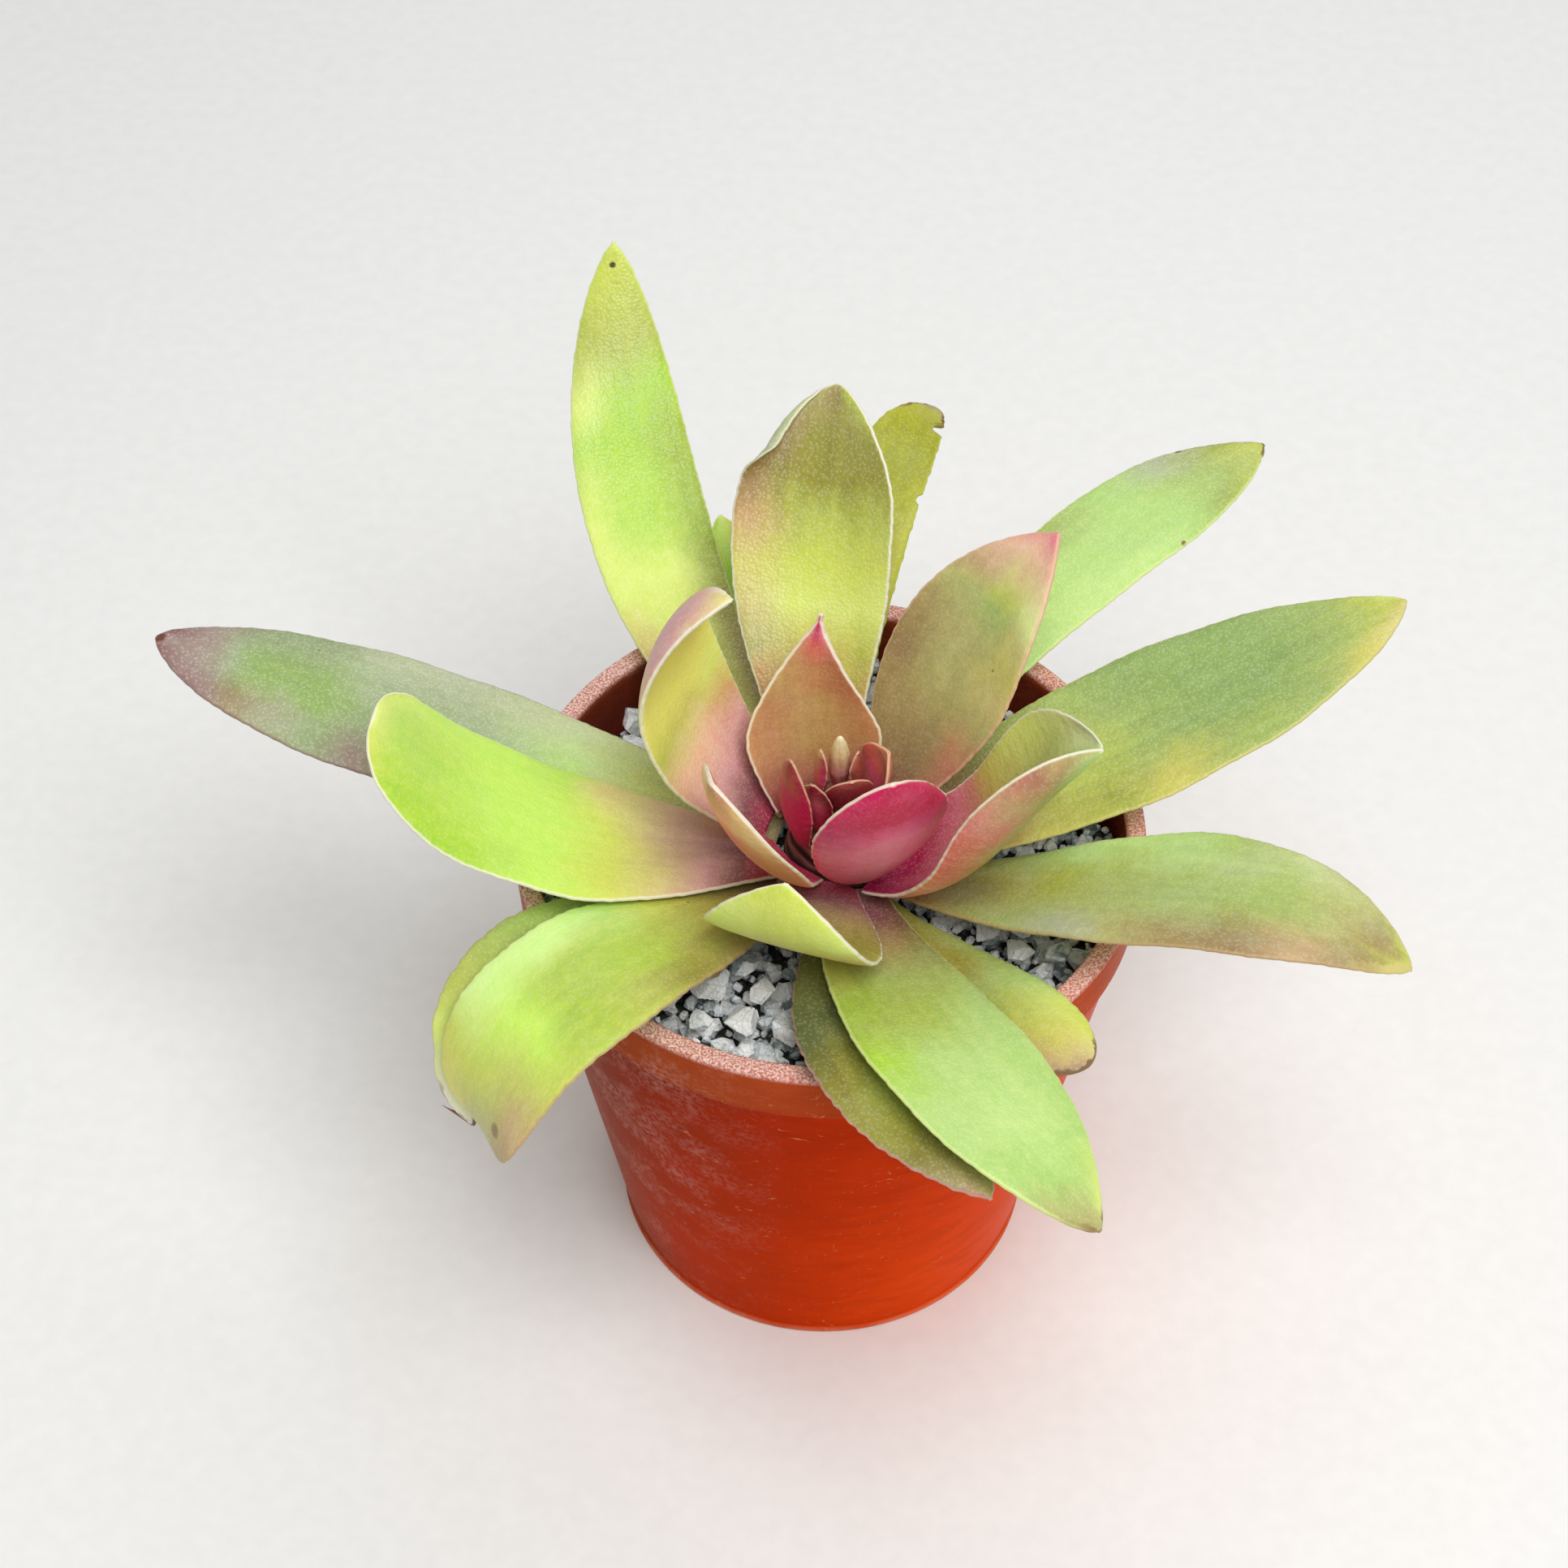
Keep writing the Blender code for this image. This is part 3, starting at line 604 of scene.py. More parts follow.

# Each leaf from the lowest to the heart. The shape's numbers are the CAD leaf's. upper and
# under are the two faces' colours down the right side, the middle and the left side as one
# looks from the foot along the leaf, each with its place in hundredths of the way to the tip.
# A curl is (side, start, end, degrees, share of the half width), a bite (side, place, depth,
# reach), a spot (place along, place across, radius, colour) and a crust (start, width, colour).
# lift raises the colour of a leaf that lies in shade among the others: painted light
leaves = {
    "leaf_front_left_under": dict(
        azimuth=220, swing=4, root=(2.5, 1.4), rise=(5, 5, -79), length=54.5, width=23, thick=2,
        roll=(7, -11), cup=(13, 2), belly=0.65, foot=0.3, point=0.5, shoulder=2.2,
        slot="leaf_olive", rim="bronzePink", jag=0.12, crust=(0.95, 1.2, "bark"),
        bites=[(1, 0.8, 6, 26), (-1, 0.55, -2, 18)],
        upper=dict(
            right="brown 0, leafGreen 35, leafGreen 62, chartreuse 75, lemonLime 86, cream 98",
            middle="brown 0, darkOlive 30, olive 60, yellowLime 85, cream 98",
            left="brown 0, deepOlive 40, darkOlive 60, rust 76, straw 95")),
    "leaf_front_right_under": dict(
        azimuth=272, swing=36, root=(2, 2.6), rise=(8, 14, -8), length=54, width=18.5, thick=2.2,
        roll=(-8, -6), cup=(-2, -11), belly=0.5, foot=0.25, point=0.85, shoulder=2.2,
        slot="leaf_olive", rim="mauvePink", jag=0.14, fleck=0.8,
        upper=dict(
            right="olive 0, deepOlive 36, deepOlive 47, darkOlive 57, olive 74, darkOlive 86, "
                  "bronze 95, rust 100",
            middle="olive 0, deepOlive 38, olive 52, oliveLime 66, darkOlive 84, bronze 100",
            left="olive 0, deepOlive 38, darkOlive 70, bronze 100")),
    "leaf_right_short": dict(
        azimuth=303, swing=13, root=(2.5, 2.4), rise=(5, 15, 1), length=40, width=12, thick=2.2,
        roll=(-7, 6), cup=(6, -10), belly=0.7, foot=0.3, point=0.55, shoulder=2.2,
        slot="leaf_olive", rim="straw", crust=(0.9, 0.9, "brown"),
        upper=dict(
            right="olive 0, olive 50, bronze 78, bronzePink 92, brown 100",
            middle="olive 0, olive 48, leafGreen 58, chartreuse 72, goldLime 87, bronzePink 96",
            left="olive 0, leafGreen 50, freshGreen 62, lemonLime 74, yellowLime 86, straw 96")),
    "leaf_back_sliver": dict(
        azimuth=109, swing=0, root=(2, 1.6), rise=(17, 12, 35), length=44.5, width=11, thick=1.8,
        roll=(-1, -9), cup=(6, 1), belly=0.6, foot=0.35, point=0.75, shoulder=2.2,
        slot="leaf_lime",
        upper=dict(
            right="olive 0, deepLime 70, yellowLime 100",
            middle="olive 0, deepLime 80, lemonLime 100",
            left="olive 0, deepLime 75, lime 100")),
    "leaf_back_yellow": dict(
        azimuth=91, swing=-28, root=(1.5, 2.8), rise=(29, 34, -37), length=61.5, width=10.5, thick=1.8,
        roll=(5, 12), cup=(13, 13), belly=0.65, foot=0.35, point=0.7, shoulder=2.2,
        slot="leaf_olive", rim="chartreuse", jag=0.08, crust=(0.9, 0.9, "bark"),
        bites=[(-1, 0.885, 1.5, 1.3), (-1, 0.67, 0.7, 0.7)],
        upper=dict(
            right="olive 0, mustard 60, mustardOlive 74, mustardOlive 88, mustard 95, bronze 100",
            middle="olive 0, mustard 55, mustardOlive 70, mustardOlive 84, mustard 94, bronze 100",
            left="olive 0, mustard 55, mustardOlive 80, mustard 92, bronze 100")),
    "leaf_left_long": dict(
        azimuth=168, swing=-2, root=(1, 1.8), rise=(12, 11, 11), length=83.5, width=20.5, thick=2.4,
        roll=(-2, 2), cup=(16, -12), belly=0.6, foot=0.45, point=0.65, shoulder=2.2,
        slot="leaf_grey_green", rim="mauveBrown", bloom=0.2, grain=1.5, spots=[(0.993, 0, 0.7, "bark")],
        upper=dict(
            right="bronze 0, chartreuse 18, paleSage 30, greySage 48, greySage 65, sage 77, sage 86, "
                  "mauveBrown 95, plum 100",
            middle="bronze 0, chartreuse 22, freshGreen 33, sage 48, sage 64, grassGreen 74, "
                   "grassGreen 82, sage 88, mauveBrown 95",
            left="bronze 0, chartreuse 22, leafGreen 36, sage 50, mauveBrown 64, sage 74, umber 84, "
                 "mauveBrown 90, plum 100")),
    "leaf_back_right": dict(
        azimuth=58, swing=-23, root=(1, 2.6), rise=(26, 9, 2), length=78.5, width=15.5, thick=2.4,
        roll=(16, -4), cup=(27, -4), belly=0.7, foot=0.4, point=0.75, shoulder=2.2,
        slot="leaf_green", rim="paleLime", grain=1.5, crust=(0.96, 0.6, "brown"),
        spots=[(0.87, 0.97, 0.5, "bark"), (0.73, -0.97, 0.4, "brown")],
        upper=dict(
            right="olive 0, freshGreen 35, paleGreen 50, paleGreen 66, freshGreen 76, leafGreen 86, "
                  "chartreuse 95",
            middle="olive 0, freshGreen 50, freshGreen 76, leafGreen 87, chartreuse 98",
            left="olive 0, leafGreen 60, freshGreen 72, greySage 84, oliveLime 94, chartreuse 100")),
    "leaf_back_left_tall": dict(
        azimuth=128, swing=-36, root=(1, 3.4), rise=(11, 21, 62), length=85.5, width=16.5, thick=2.4,
        roll=(0, -1), cup=(15, -4), belly=0.55, foot=0.4, point=0.75, shoulder=2.2,
        slot="leaf_lime", rim="paleLime", gloss=0.1, grain=1.4, spots=[(0.965, 0.1, 0.42, "black")],
        # the lemon stops on the left and the middle are partly the leaf's own lime and partly painted sheen
        upper=dict(
            right="bronze 0, bronze 25, olive 38, meadow 52, meadow 66, deepLime 76, chartreuse 86, "
                  "yellowLime 97",
            middle="bronze 0, chartreuse 30, lemonLime 45, lime 56, deepLime 68, deepLime 76, "
                   "chartreuse 85, yellowLime 96",
            left="rust 0, tan 28, lemonLime 42, lemonLime 58, lime 67, lemonLime 76, chartreuse 86, "
                 "yellowLime 96")),
    "leaf_front_left": dict(
        azimuth=226, swing=-4, root=(1.5, 3.8), rise=(8, 9, -92), length=59, width=22, thick=2.6,
        roll=(10, 8), cup=(-1, 16), belly=0.6, foot=0.35, point=0.26, shoulder=2.8,
        slot="leaf_olive", rim="bronzePink", lift=1.24, jag=0.1, fleck=0.7,
        spots=[(0.93, 0.5, 0.9, "umber")],
        upper=dict(
            right="brown 0, chartreuse 33, freshGreen 45, paleGreen 58, paleGreen 76, chartreuse 86, "
                  "goldLime 97",
            middle="brown 0, olive 22, oliveLime 34, meadow 46, meadow 64, lime 74, chartreuse 86, "
                   "khaki 96",
            left="brown 0, bronze 28, darkOlive 42, oliveLime 54, meadow 66, chartreuse 76, "
                 "bronzePink 88, bronze 98")),
    "leaf_right_front": dict(
        azimuth=333, swing=12, root=(1.5, 2.4), rise=(10, 24, -39), length=69.5, width=20.5, thick=2.4,
        roll=(-9, -2), cup=(11, 11), belly=0.55, foot=0.35, point=0.75, shoulder=2.2,
        slot="leaf_green", rim="bronzePink", bloom=0.12, fleck=0.8, crust=(0.9, 1.8, "straw"),
        upper=dict(
            right="rust 0, olive 15, leafGreen 27, greySage 38, khaki 47, bronze 56, umber 68, "
                  "bronzePink 78, bronze 90, yellowLime 99",
            middle="bronze 0, darkOlive 15, olive 22, oliveLime 36, leafGreen 56, leafGreen 76, "
                   "khaki 88, bronze 94, yellowLime 100",
            left="bronze 0, leafGreen 22, freshGreen 34, paleGreen 46, freshGreen 56, leafGreen 66, "
                 "paleSage 78, khaki 92, yellowLime 100")),
    "leaf_right_back": dict(
        azimuth=13, swing=15, root=(1, 3.8), rise=(18, 17, 14), length=71, width=24.5, thick=2.6,
        roll=(3, -13), cup=(18, 12), belly=0.5, foot=0.55, point=0.75, shoulder=2.2,
        slot="leaf_green", rim="straw", grain=1.4,
        upper=dict(
            right="rose 0, rust 10, goldLime 25, oliveLime 38, goldLime 50, leafGreen 62, "
                  "leafGreen 76, goldLime 88, straw 97",
            middle="rust 0, bronze 18, chartreuse 32, leafGreen 45, grassGreen 58, grassGreen 74, "
                   "leafGreen 84, chartreuse 93, goldLime 99",
            left="brown 0, leafGreen 33, grassGreen 47, grassGreen 76, leafGreen 86, chartreuse 93, "
                 "lemonLime 99")),
    "leaf_front_right": dict(
        azimuth=281, swing=36, root=(1.5, 4.2), rise=(10, 12, -30), length=62.5, width=20, thick=2.6,
        roll=(-3, -19), cup=(15, 6), belly=0.6, foot=0.45, point=0.75, shoulder=2.2,
        slot="leaf_green", rim="paleLime", crust=(0.955, 1.0, "umber"),
        upper=dict(
            right="plum 0, bronze 15, goldLime 24, meadow 35, meadow 45, deepLime 55, freshGreen 66, "
                  "freshGreen 85, khaki 95, bronze 100",
            middle="plum 0, plum 10, bronze 20, leafGreen 32, meadow 44, freshGreen 56, paleGreen 76, "
                   "freshGreen 87, khaki 96",
            left="plum 0, brown 14, leafGreen 32, freshGreen 48, freshGreen 84, lemonLime 95, khaki 100")),
    "leaf_left_lime": dict(
        azimuth=195, swing=-27, root=(2, 4.4), rise=(14, 25, 63), length=56.5, width=23.5, thick=2.4,
        roll=(10, 6), cup=(12, -7), belly=0.5, foot=0.45, point=0.42, shoulder=3.0,
        slot="leaf_lime", rim="cream", rimShare=0.9, fleck=0.75,
        curls=[(-1, 0.86, 1.05, 70, 0.3), (1, 0.93, 1.05, 50, 0.3)],
        upper=dict(
            right="magenta 0, blush 15, straw 26, straw 36, lime 46, brightLime 58, brightLime 85, "
                  "lemonLime 97",
            middle="magenta 0, plum 7, mauvePink 16, straw 28, yellowLime 38, brightLime 50, "
                   "brightLime 64, lime 80, lime 92, lemonLime 99",
            left="magenta 0, plum 8, mauvePink 17, straw 28, yellowLime 38, brightLime 54, "
                 "deepLime 68, deepLime 86, yellowLime 97")),
    "leaf_front_curled": dict(
        azimuth=260, swing=-10, root=(2, 6.4), rise=(27, 40, 122), length=34, width=21.5, thick=2.4,
        roll=(1, -2), cup=(-5, 5), belly=0.55, foot=0.4, point=0.85, shoulder=2.2,
        slot="leaf_lime", rim="cream", rimShare=0.9,
        upper=dict(
            right="magenta 0, plum 16, bronze 30, oliveLime 48, lime 100",
            middle="magenta 0, plum 16, bronze 30, olive 48, lime 100",
            left="magenta 0, plum 14, bronze 28, olive 44, chartreuse 80"),
        under=dict(
            right="rust 0, yellowLime 15, brightLime 28, lemonLime 42, lemonLime 82, yellowLime 94",
            middle="magenta 0, raspberry 13, straw 24, yellowLime 36, goldLime 48, goldLime 65, "
                   "yellowLime 78, yellowLime 92",
            left="magenta 0, raspberry 14, bronzePink 25, goldLime 38, straw 55, tan 66, lemonLime 80, "
                 "yellowLime 94")),
    "leaf_inner_back": dict(
        azimuth=102, swing=-26, root=(1.5, 5.6), rise=(38, 45, 41), length=51.5, width=22.5, thick=2.4,
        roll=(-9, -19), cup=(23, 30), belly=0.65, foot=0.35, point=0.75, shoulder=2.2,
        slot="leaf_olive", rim="cream", rimShare=0.9, gloss=0.08, grain=1.5,
        curls=[(1, 0.74, 1.05, 170, 0.5)],
        # the lemon band across the middle of the upper face is partly the leaf's own yellow-lime and partly
        # painted sheen
        upper=dict(
            right="rust 0, ochre 20, chartreuse 34, lemonLime 46, yellowLime 56, chartreuse 66, "
                  "olive 77, olive 86, chartreuse 95",
            middle="rust 0, ochre 20, goldLime 35, lemonLime 46, yellowLime 56, chartreuse 66, "
                   "olive 76, olive 87, bronze 97",
            left="rust 0, tan 28, khaki 36, straw 46, goldLime 56, tan 66, umber 76, bronze 88, "
                 "khaki 97"),
        under=dict(
            right="olive 0, leafGreen 60, paleSage 100",
            middle="olive 0, leafGreen 60, paleSage 100",
            left="olive 0, sage 60, greySage 85, paleSage 100")),
    "leaf_inner_right": dict(
        azimuth=43, swing=-7, root=(1, 6.4), rise=(48, 55, 31), length=41.5, width=20.5, thick=2.4,
        roll=(10, -7), cup=(27, 24), belly=0.5, foot=0.4, point=0.9, shoulder=2.2,
        slot="leaf_blush", rim="blush", rimShare=0.85, grain=0.8,
        upper=dict(
            right="plum 0, rust 12, terracotta 24, khaki 38, straw 50, goldLime 60, straw 68, "
                  "paleLime 75, blush 86, rose 99",
            middle="wine 0, umber 14, bronze 28, khaki 45, khaki 60, leafGreen 70, chartreuse 76, "
                   "straw 82, blush 91, rose 100",
            left="wine 0, umber 14, bronze 30, umber 42, bronze 58, khaki 70, bronzePink 78, blush 90, "
                 "rose 100")),
    "leaf_inner_canoe": dict(
        azimuth=330, swing=25, root=(1, 6.4), rise=(11, 61, 45), length=40.5, width=24, thick=2.2,
        roll=(13, -19), cup=(41, 85), belly=0.65, foot=0.65, point=0.75, shoulder=2.2,
        slot="leaf_blush", rim="cream", rimShare=0.9,
        upper=dict(
            right="deepMagenta 0, raspberry 25, rose 45, oliveLime 75, chartreuse 100",
            middle="deepMagenta 0, magenta 12, rose 26, terracotta 38, ochre 50, khaki 64, "
                   "leafGreen 84, freshGreen 100",
            left="deepMagenta 0, raspberry 16, rose 26, terracotta 36, goldLime 44, lemonLime 56, "
                 "lemonLime 72, paleLime 86, greySage 100"),
        under=dict(
            right="raspberry 0, coral 15, salmon 30, coralRed 44, coralRed 60, coral 68, "
                  "terracotta 78, rust 86, khaki 97",
            middle="raspberry 0, coral 15, tan 33, ochre 48, khaki 62, leafGreen 78, freshGreen 94",
            left="rose 0, terracotta 25, khaki 45, leafGreen 70, paleSage 90")),
    "leaf_inner_hood": dict(
        azimuth=163, swing=-1, root=(2, 5.8), rise=(44, 75, 162), length=46, width=20.5, thick=2.2,
        roll=(-5, -5), cup=(22, 19), belly=0.45, foot=0.5, point=0.85, shoulder=2.2,
        slot="leaf_blush", rim="cream", rimShare=0.9, lift=1.16, fleck=0.6,
        upper=dict(
            right="magenta 0, plum 12, mauvePink 24, tan 34, lemonLime 46, lemonYellow 58, straw 80",
            middle="magenta 0, plum 9, mauvePink 18, blush 30, straw 38, goldLime 44, lemonYellow 52, "
                   "lemonYellow 64, straw 80",
            left="magenta 0, plum 10, mauvePink 20, blush 32, chartreuse 44, lemonYellow 56, "
                 "lemonYellow 70, straw 80"),
        under=dict(
            right="rose 0, khaki 35, mauvePink 60, mauvePink 86, cream 97",
            middle="rose 0, khaki 35, blush 58, mauvePink 72, mauvePink 88, straw 97",
            left="rose 0, khaki 35, peach 60, mauvePink 76, mauvePink 86, straw 97")),
    "leaf_heart_back": dict(
        azimuth=113, swing=-44, root=(0, 7), rise=(71, 71, 64), length=25, width=18.5, thick=2,
        roll=(-7, 7), cup=(57, 20), belly=0.35, foot=0.8, point=1.35, shoulder=1.45,
        slot="leaf_blush", rim="cream", rimShare=0.85, grain=0.7, ripple=9, fleck=0.6,
        upper=dict(
            right="wine 0, raspberry 12, amber 32, amber 48, sienna 62, sienna 76, coral 88, cerise 97",
            middle="wine 0, terracotta 14, ochre 28, ochre 56, amber 66, amber 74, coralRed 84, "
                   "raspberry 90, cerise 97",
            left="wine 0, rust 14, amber 28, amber 50, ochre 68, amber 80, coral 90, cerise 97")),
    "leaf_heart_left": dict(
        azimuth=232, swing=-19, root=(2, 7.8), rise=(44, 64, 79), length=29.5, width=19, thick=2,
        roll=(-5, -4), cup=(26, 31), belly=0.55, foot=0.5, point=0.85, shoulder=2.2,
        slot="leaf_blush", rim="cream", rimShare=0.9, lift=1.2,
        upper=dict(
            right="magenta 0, rose 30, rust 60, coral 90",
            middle="magenta 0, cerise 30, rust 60, rose 90",
            left="magenta 0, cerise 30, rust 60, coral 90"),
        under=dict(
            right="straw 0, peach 16, peach 45, terracotta 55, peach 66, blush 92",
            middle="salmon 0, salmon 40, coral 56, coralRed 70, salmon 82, terracotta 92, rust 100",
            left="coral 0, coral 30, salmon 60, peach 78, tan 92, rust 100")),
    "leaf_heart_front": dict(
        azimuth=290, swing=1, root=(1.5, 7.8), rise=(43, 74, 87), length=29.5, width=18, thick=2.2,
        roll=(4, 0), cup=(26, 30), belly=0.6, foot=0.35, point=0.8, shoulder=2.0,
        slot="leaf_crimson", rim="cream", rimShare=0.85, gloss=0.08, grain=0.35,
        curls=[(1, 0.7, 1.05, 60, 0.3)],
        upper=dict(
            right="crimson 0, magenta 50, cerise 100",
            middle="crimson 0, magenta 50, cerise 100",
            left="crimson 0, magenta 50, rose 85, blush 100"),
        # the pale coral pink across the middle of the outer face is partly the leaf's own pink and partly
        # painted sheen
        under=dict(
            right="hotPink 0, hotPink 40, coralPink 58, raspberry 72, vividCerise 84, vividCerise 100",
            middle="hotPink 0, cerise 18, raspberry 30, coralPink 44, coralPink 60, hotPink 67, "
                   "vividCerise 76, vividCerise 100",
            left="deepMagenta 0, deepMagenta 20, cerise 30, coralPink 42, rose 55, raspberry 65, "
                 "vividCerise 76, vividCerise 100")),
    "leaf_bud_left": dict(
        azimuth=228, swing=-20, root=(-0.5, 9.8), rise=(69, 84, 95), length=17, width=7, thick=1.3,
        roll=(-1, 0), cup=(26, 26), belly=0.6, foot=0.35, point=0.8, shoulder=2.2,
        slot="leaf_crimson", rim="blush", rimShare=0.8, grain=0.3,
        upper=dict(
            right="cerise 0, raspberry 30, rust 55, terracotta 80, brick 100",
            middle="cerise 0, raspberry 40, raspberry 65, rust 80, brick 95",
            left="raspberry 0, raspberry 35, cerise 60, magenta 80, brick 97")),
    "leaf_bud_small": dict(
        azimuth=246, swing=-1, root=(-2, 11.8), rise=(65, 77, 86), length=12, width=4.5, thick=1.1,
        roll=(0, 0), cup=(35, 35), belly=0.6, foot=0.35, point=0.8, shoulder=2.2,
        slot="leaf_crimson", rim="blush", rimShare=0.8, grain=0.3,
        upper=dict(
            right="raspberry 0, raspberry 60, rust 90",
            middle="raspberry 0, raspberry 50, rose 75, crimson 95",
            left="crimson 0, crimson 60, darkCrimson 80, crimson 100")),
    "leaf_bud_right": dict(
        azimuth=16, swing=2, root=(-3, 13.2), rise=(59, 72, 79), length=7, width=8.5, thick=1.3,
        roll=(1, 2), cup=(34, 34), belly=0.55, foot=0.35, point=0.8, shoulder=2.2,
        slot="leaf_crimson", rim="blush", rimShare=0.8, grain=0.3,
        upper=dict(
            right="raspberry 0, raspberry 50, rust 80",
            middle="brick 0, raspberry 35, coralRed 60, rust 90",
            left="brick 0, brick 40, coralRed 70, terracotta 95")),
    "leaf_bud_front": dict(
        azimuth=287, swing=-1, root=(-3.5, 13.6), rise=(65, 79, 85), length=8.5, width=6.5, thick=1.2,
        roll=(-1, -1), cup=(35, 35), belly=0.6, foot=0.35, point=0.8, shoulder=2.2,
        slot="leaf_crimson", rim="blush", rimShare=0.8, grain=0.3,
        upper=dict(
            right="darkCrimson 0, crimson 40, crimson 70, brick 95",
            middle="darkCrimson 0, crimson 60, brick 95",
            left="darkCrimson 0, crimson 60, brick 90")),
    "bract_left": dict(
        azimuth=201, swing=0, root=(-4.5, 15.2), rise=(79, 91, 102), length=7.5, width=3.5, thick=0.9,
        roll=(0, 0), cup=(45, 45), belly=0.6, foot=0.35, point=0.8, shoulder=2.2,
        slot="leaf_crimson", rim="blush", rimShare=0.8, grain=0.3,
        upper=dict(
            right="brick 0, rust 30, terracotta 60, tan 100",
            middle="brick 0, coralRed 40, terracotta 70, tan 100",
            left="cerise 0, hotPink 35, cerise 60, brick 85, tan 100")),
    "bract_right": dict(
        azimuth=334, swing=0, root=(-4.5, 15.2), rise=(79, 91, 102), length=7.5, width=3.5, thick=0.9,
        roll=(0, 0), cup=(45, 45), belly=0.6, foot=0.35, point=0.8, shoulder=2.2,
        slot="leaf_crimson", rim="blush", rimShare=0.8, grain=0.3,
        upper=dict(
            right="brick 0, brick 60, rust 100",
            middle="crimson 0, brick 50, brick 100",
            left="crimson 0, brick 50, brick 100")),
}


def laneStops(words):
    # "olive 30, lime 70" becomes the stops of a ramp: olive at 0.3 of the way, lime at 0.7
    pairs = [word.split() for word in words.split(", ")]
    return [(float(place) / 100, linearColour(paint[colour])) for colour, place in pairs]


def halfWidth(leaf, s):
    # a sine's rise from the foot to the belly, then a power curve that closes on the tip
    grow = leaf["foot"] + (1 - leaf["foot"]) * np.sin(np.pi / 2 * np.clip(s / leaf["belly"], 0, 1)) ** 1.3
    close = 1 - np.clip((s - leaf["belly"]) / (1 - leaf["belly"]), 0, 1) ** leaf["shoulder"]
    return np.maximum(leaf["width"] / 2 * np.where(s < leaf["belly"], grow, close ** leaf["point"]), 0.35)


def leafSkin(name, leaf):
    # Living leaf skin: cells 0.4 mm across, each with a painted highlight point, under a thin
    # waxy bloom, which blurs the gloss and greys the colour in patches. Red pigment pools at the
    # foot, the tip and the margins, and the margin itself is a thin colourless line.
    material, tree = newMaterial("waxy leaf " + name.replace("leaf_", "").replace("_", " "))
    along, across, upper, rim = (
        addNode(tree, "ShaderNodeAttribute", {"attribute_name": word}).outputs["Fac"]
        for word in ("along", "across", "upper", "rim"))
    place = addNode(tree, "ShaderNodeAttribute", {"attribute_name": "leafPlace"}).outputs["Vector"]
    # grain sets the strength of the painted highlight points and of the pore bumps
    grain = leaf.get("grain", 1)
    stretched = addNode(tree, "ShaderNodeMapping", values={"Scale": (0.55, 1, 1)}, links={"Vector": place})
    cloud = addNode(tree, "ShaderNodeTexNoise", values={"Scale": 1 / 6.5, "Detail": 3},
                    links={"Vector": stretched})
    patches = addNode(tree, "ShaderNodeTexNoise", values={"Scale": 1 / 8.3, "Detail": 3},
                      links={"Vector": place})
    drift = addNode(tree, "ShaderNodeMapRange", values={"To Min": -0.08, "To Max": 0.08},
                    links={"Value": cloud})
    spread = addNode(tree, "ShaderNodeMapRange", values={"To Min": -0.45, "To Max": 0.45},
                     links={"Value": patches})
    alongHere = addNode(tree, "ShaderNodeMath", {"operation": "ADD"}, links={0: along, 1: drift})
    acrossHere = addNode(tree, "ShaderNodeMath", {"operation": "ADD"}, links={0: across, 1: spread})
    leftShare, rightShare = (
        addNode(tree, "ShaderNodeMapRange", {"interpolation_type": "SMOOTHSTEP"},
                {"From Min": 0.1 * side, "From Max": 0.9 * side}, {"Value": acrossHere})
        for side in (1, -1))

    faces = []
    for look in (leaf["upper"], leaf.get("under", leaf["upper"])):
        middle, left, right = (
            addNode(tree, "ShaderNodeValToRGB", {"stops": laneStops(look[lane])}, links={"Fac": alongHere})
            for lane in ("middle", "left", "right"))
        leftward = addNode(tree, "ShaderNodeMix", {"data_type": "RGBA"},
                           links={0: leftShare, 6: middle, 7: left})
        faces.append(addNode(tree, "ShaderNodeMix", {"data_type": "RGBA"},
                             links={0: rightShare, 6: leftward.outputs[2], 7: right}).outputs[2])
    skin = addNode(tree, "ShaderNodeMix", {"data_type": "RGBA"},
                   links={0: upper, 6: faces[1], 7: faces[0]}).outputs[2]
    # painted light: lift brightens the colour of a leaf that lies in shade among its neighbours
    skin = addNode(tree, "ShaderNodeHueSaturation", values={"Value": leaf.get("lift", 1)},
                   links={"Color": skin})
    # mottling 1.6 mm across over faint streaks along the veins
    blotch = addNode(tree, "ShaderNodeTexNoise", values={"Scale": 1 / 1.6, "Detail": 5, "Roughness": 0.65},
                     links={"Vector": place})
    veinSpot = addNode(tree, "ShaderNodeMapping", values={"Scale": (0.06, 1, 1)}, links={"Vector": place})
    veins = addNode(tree, "ShaderNodeTexNoise", values={"Scale": 1 / 1.3, "Detail": 3},
                    links={"Vector": veinSpot})
    shade = addNode(tree, "ShaderNodeMath", {"operation": "MULTIPLY"}, {1: 0.4}, {0: veins})
    shading = addNode(tree, "ShaderNodeMath", {"operation": "MULTIPLY_ADD"}, {1: 0.6}, {0: blotch, 2: shade})
    skin = addNode(tree, "ShaderNodeMix", {"data_type": "RGBA", "blend_type": "OVERLAY"}, {0: 0.42},
                   {6: skin, 7: shading}).outputs[2]
    # what lies over the skin, as pairs of a colour and its share: first the waxy bloom,
    # thicker where it hasn't been rubbed
    layers = []
    bloomed = addNode(tree, "ShaderNodeMapRange",
                      values={"From Min": 0.42, "From Max": 0.7, "To Max": 0.06 + leaf.get("bloom", 0)},
                      links={"Value": patches})
    layers.append(("#d2d8c4", bloomed))
    # painted highlight: pale points on the skin cells stand for the sparkle where each cell catches the
    # light
    cells = addNode(tree, "ShaderNodeTexVoronoi", values={"Scale": 1 / 0.42}, links={"Vector": place})
    point = addNode(tree, "ShaderNodeMapRange",
                    values={"From Min": 0.1, "From Max": 0.5, "To Min": 0.16 * grain, "To Max": 0},
                    links={"Value": cells})
    layers.append(("#fafce2", point))
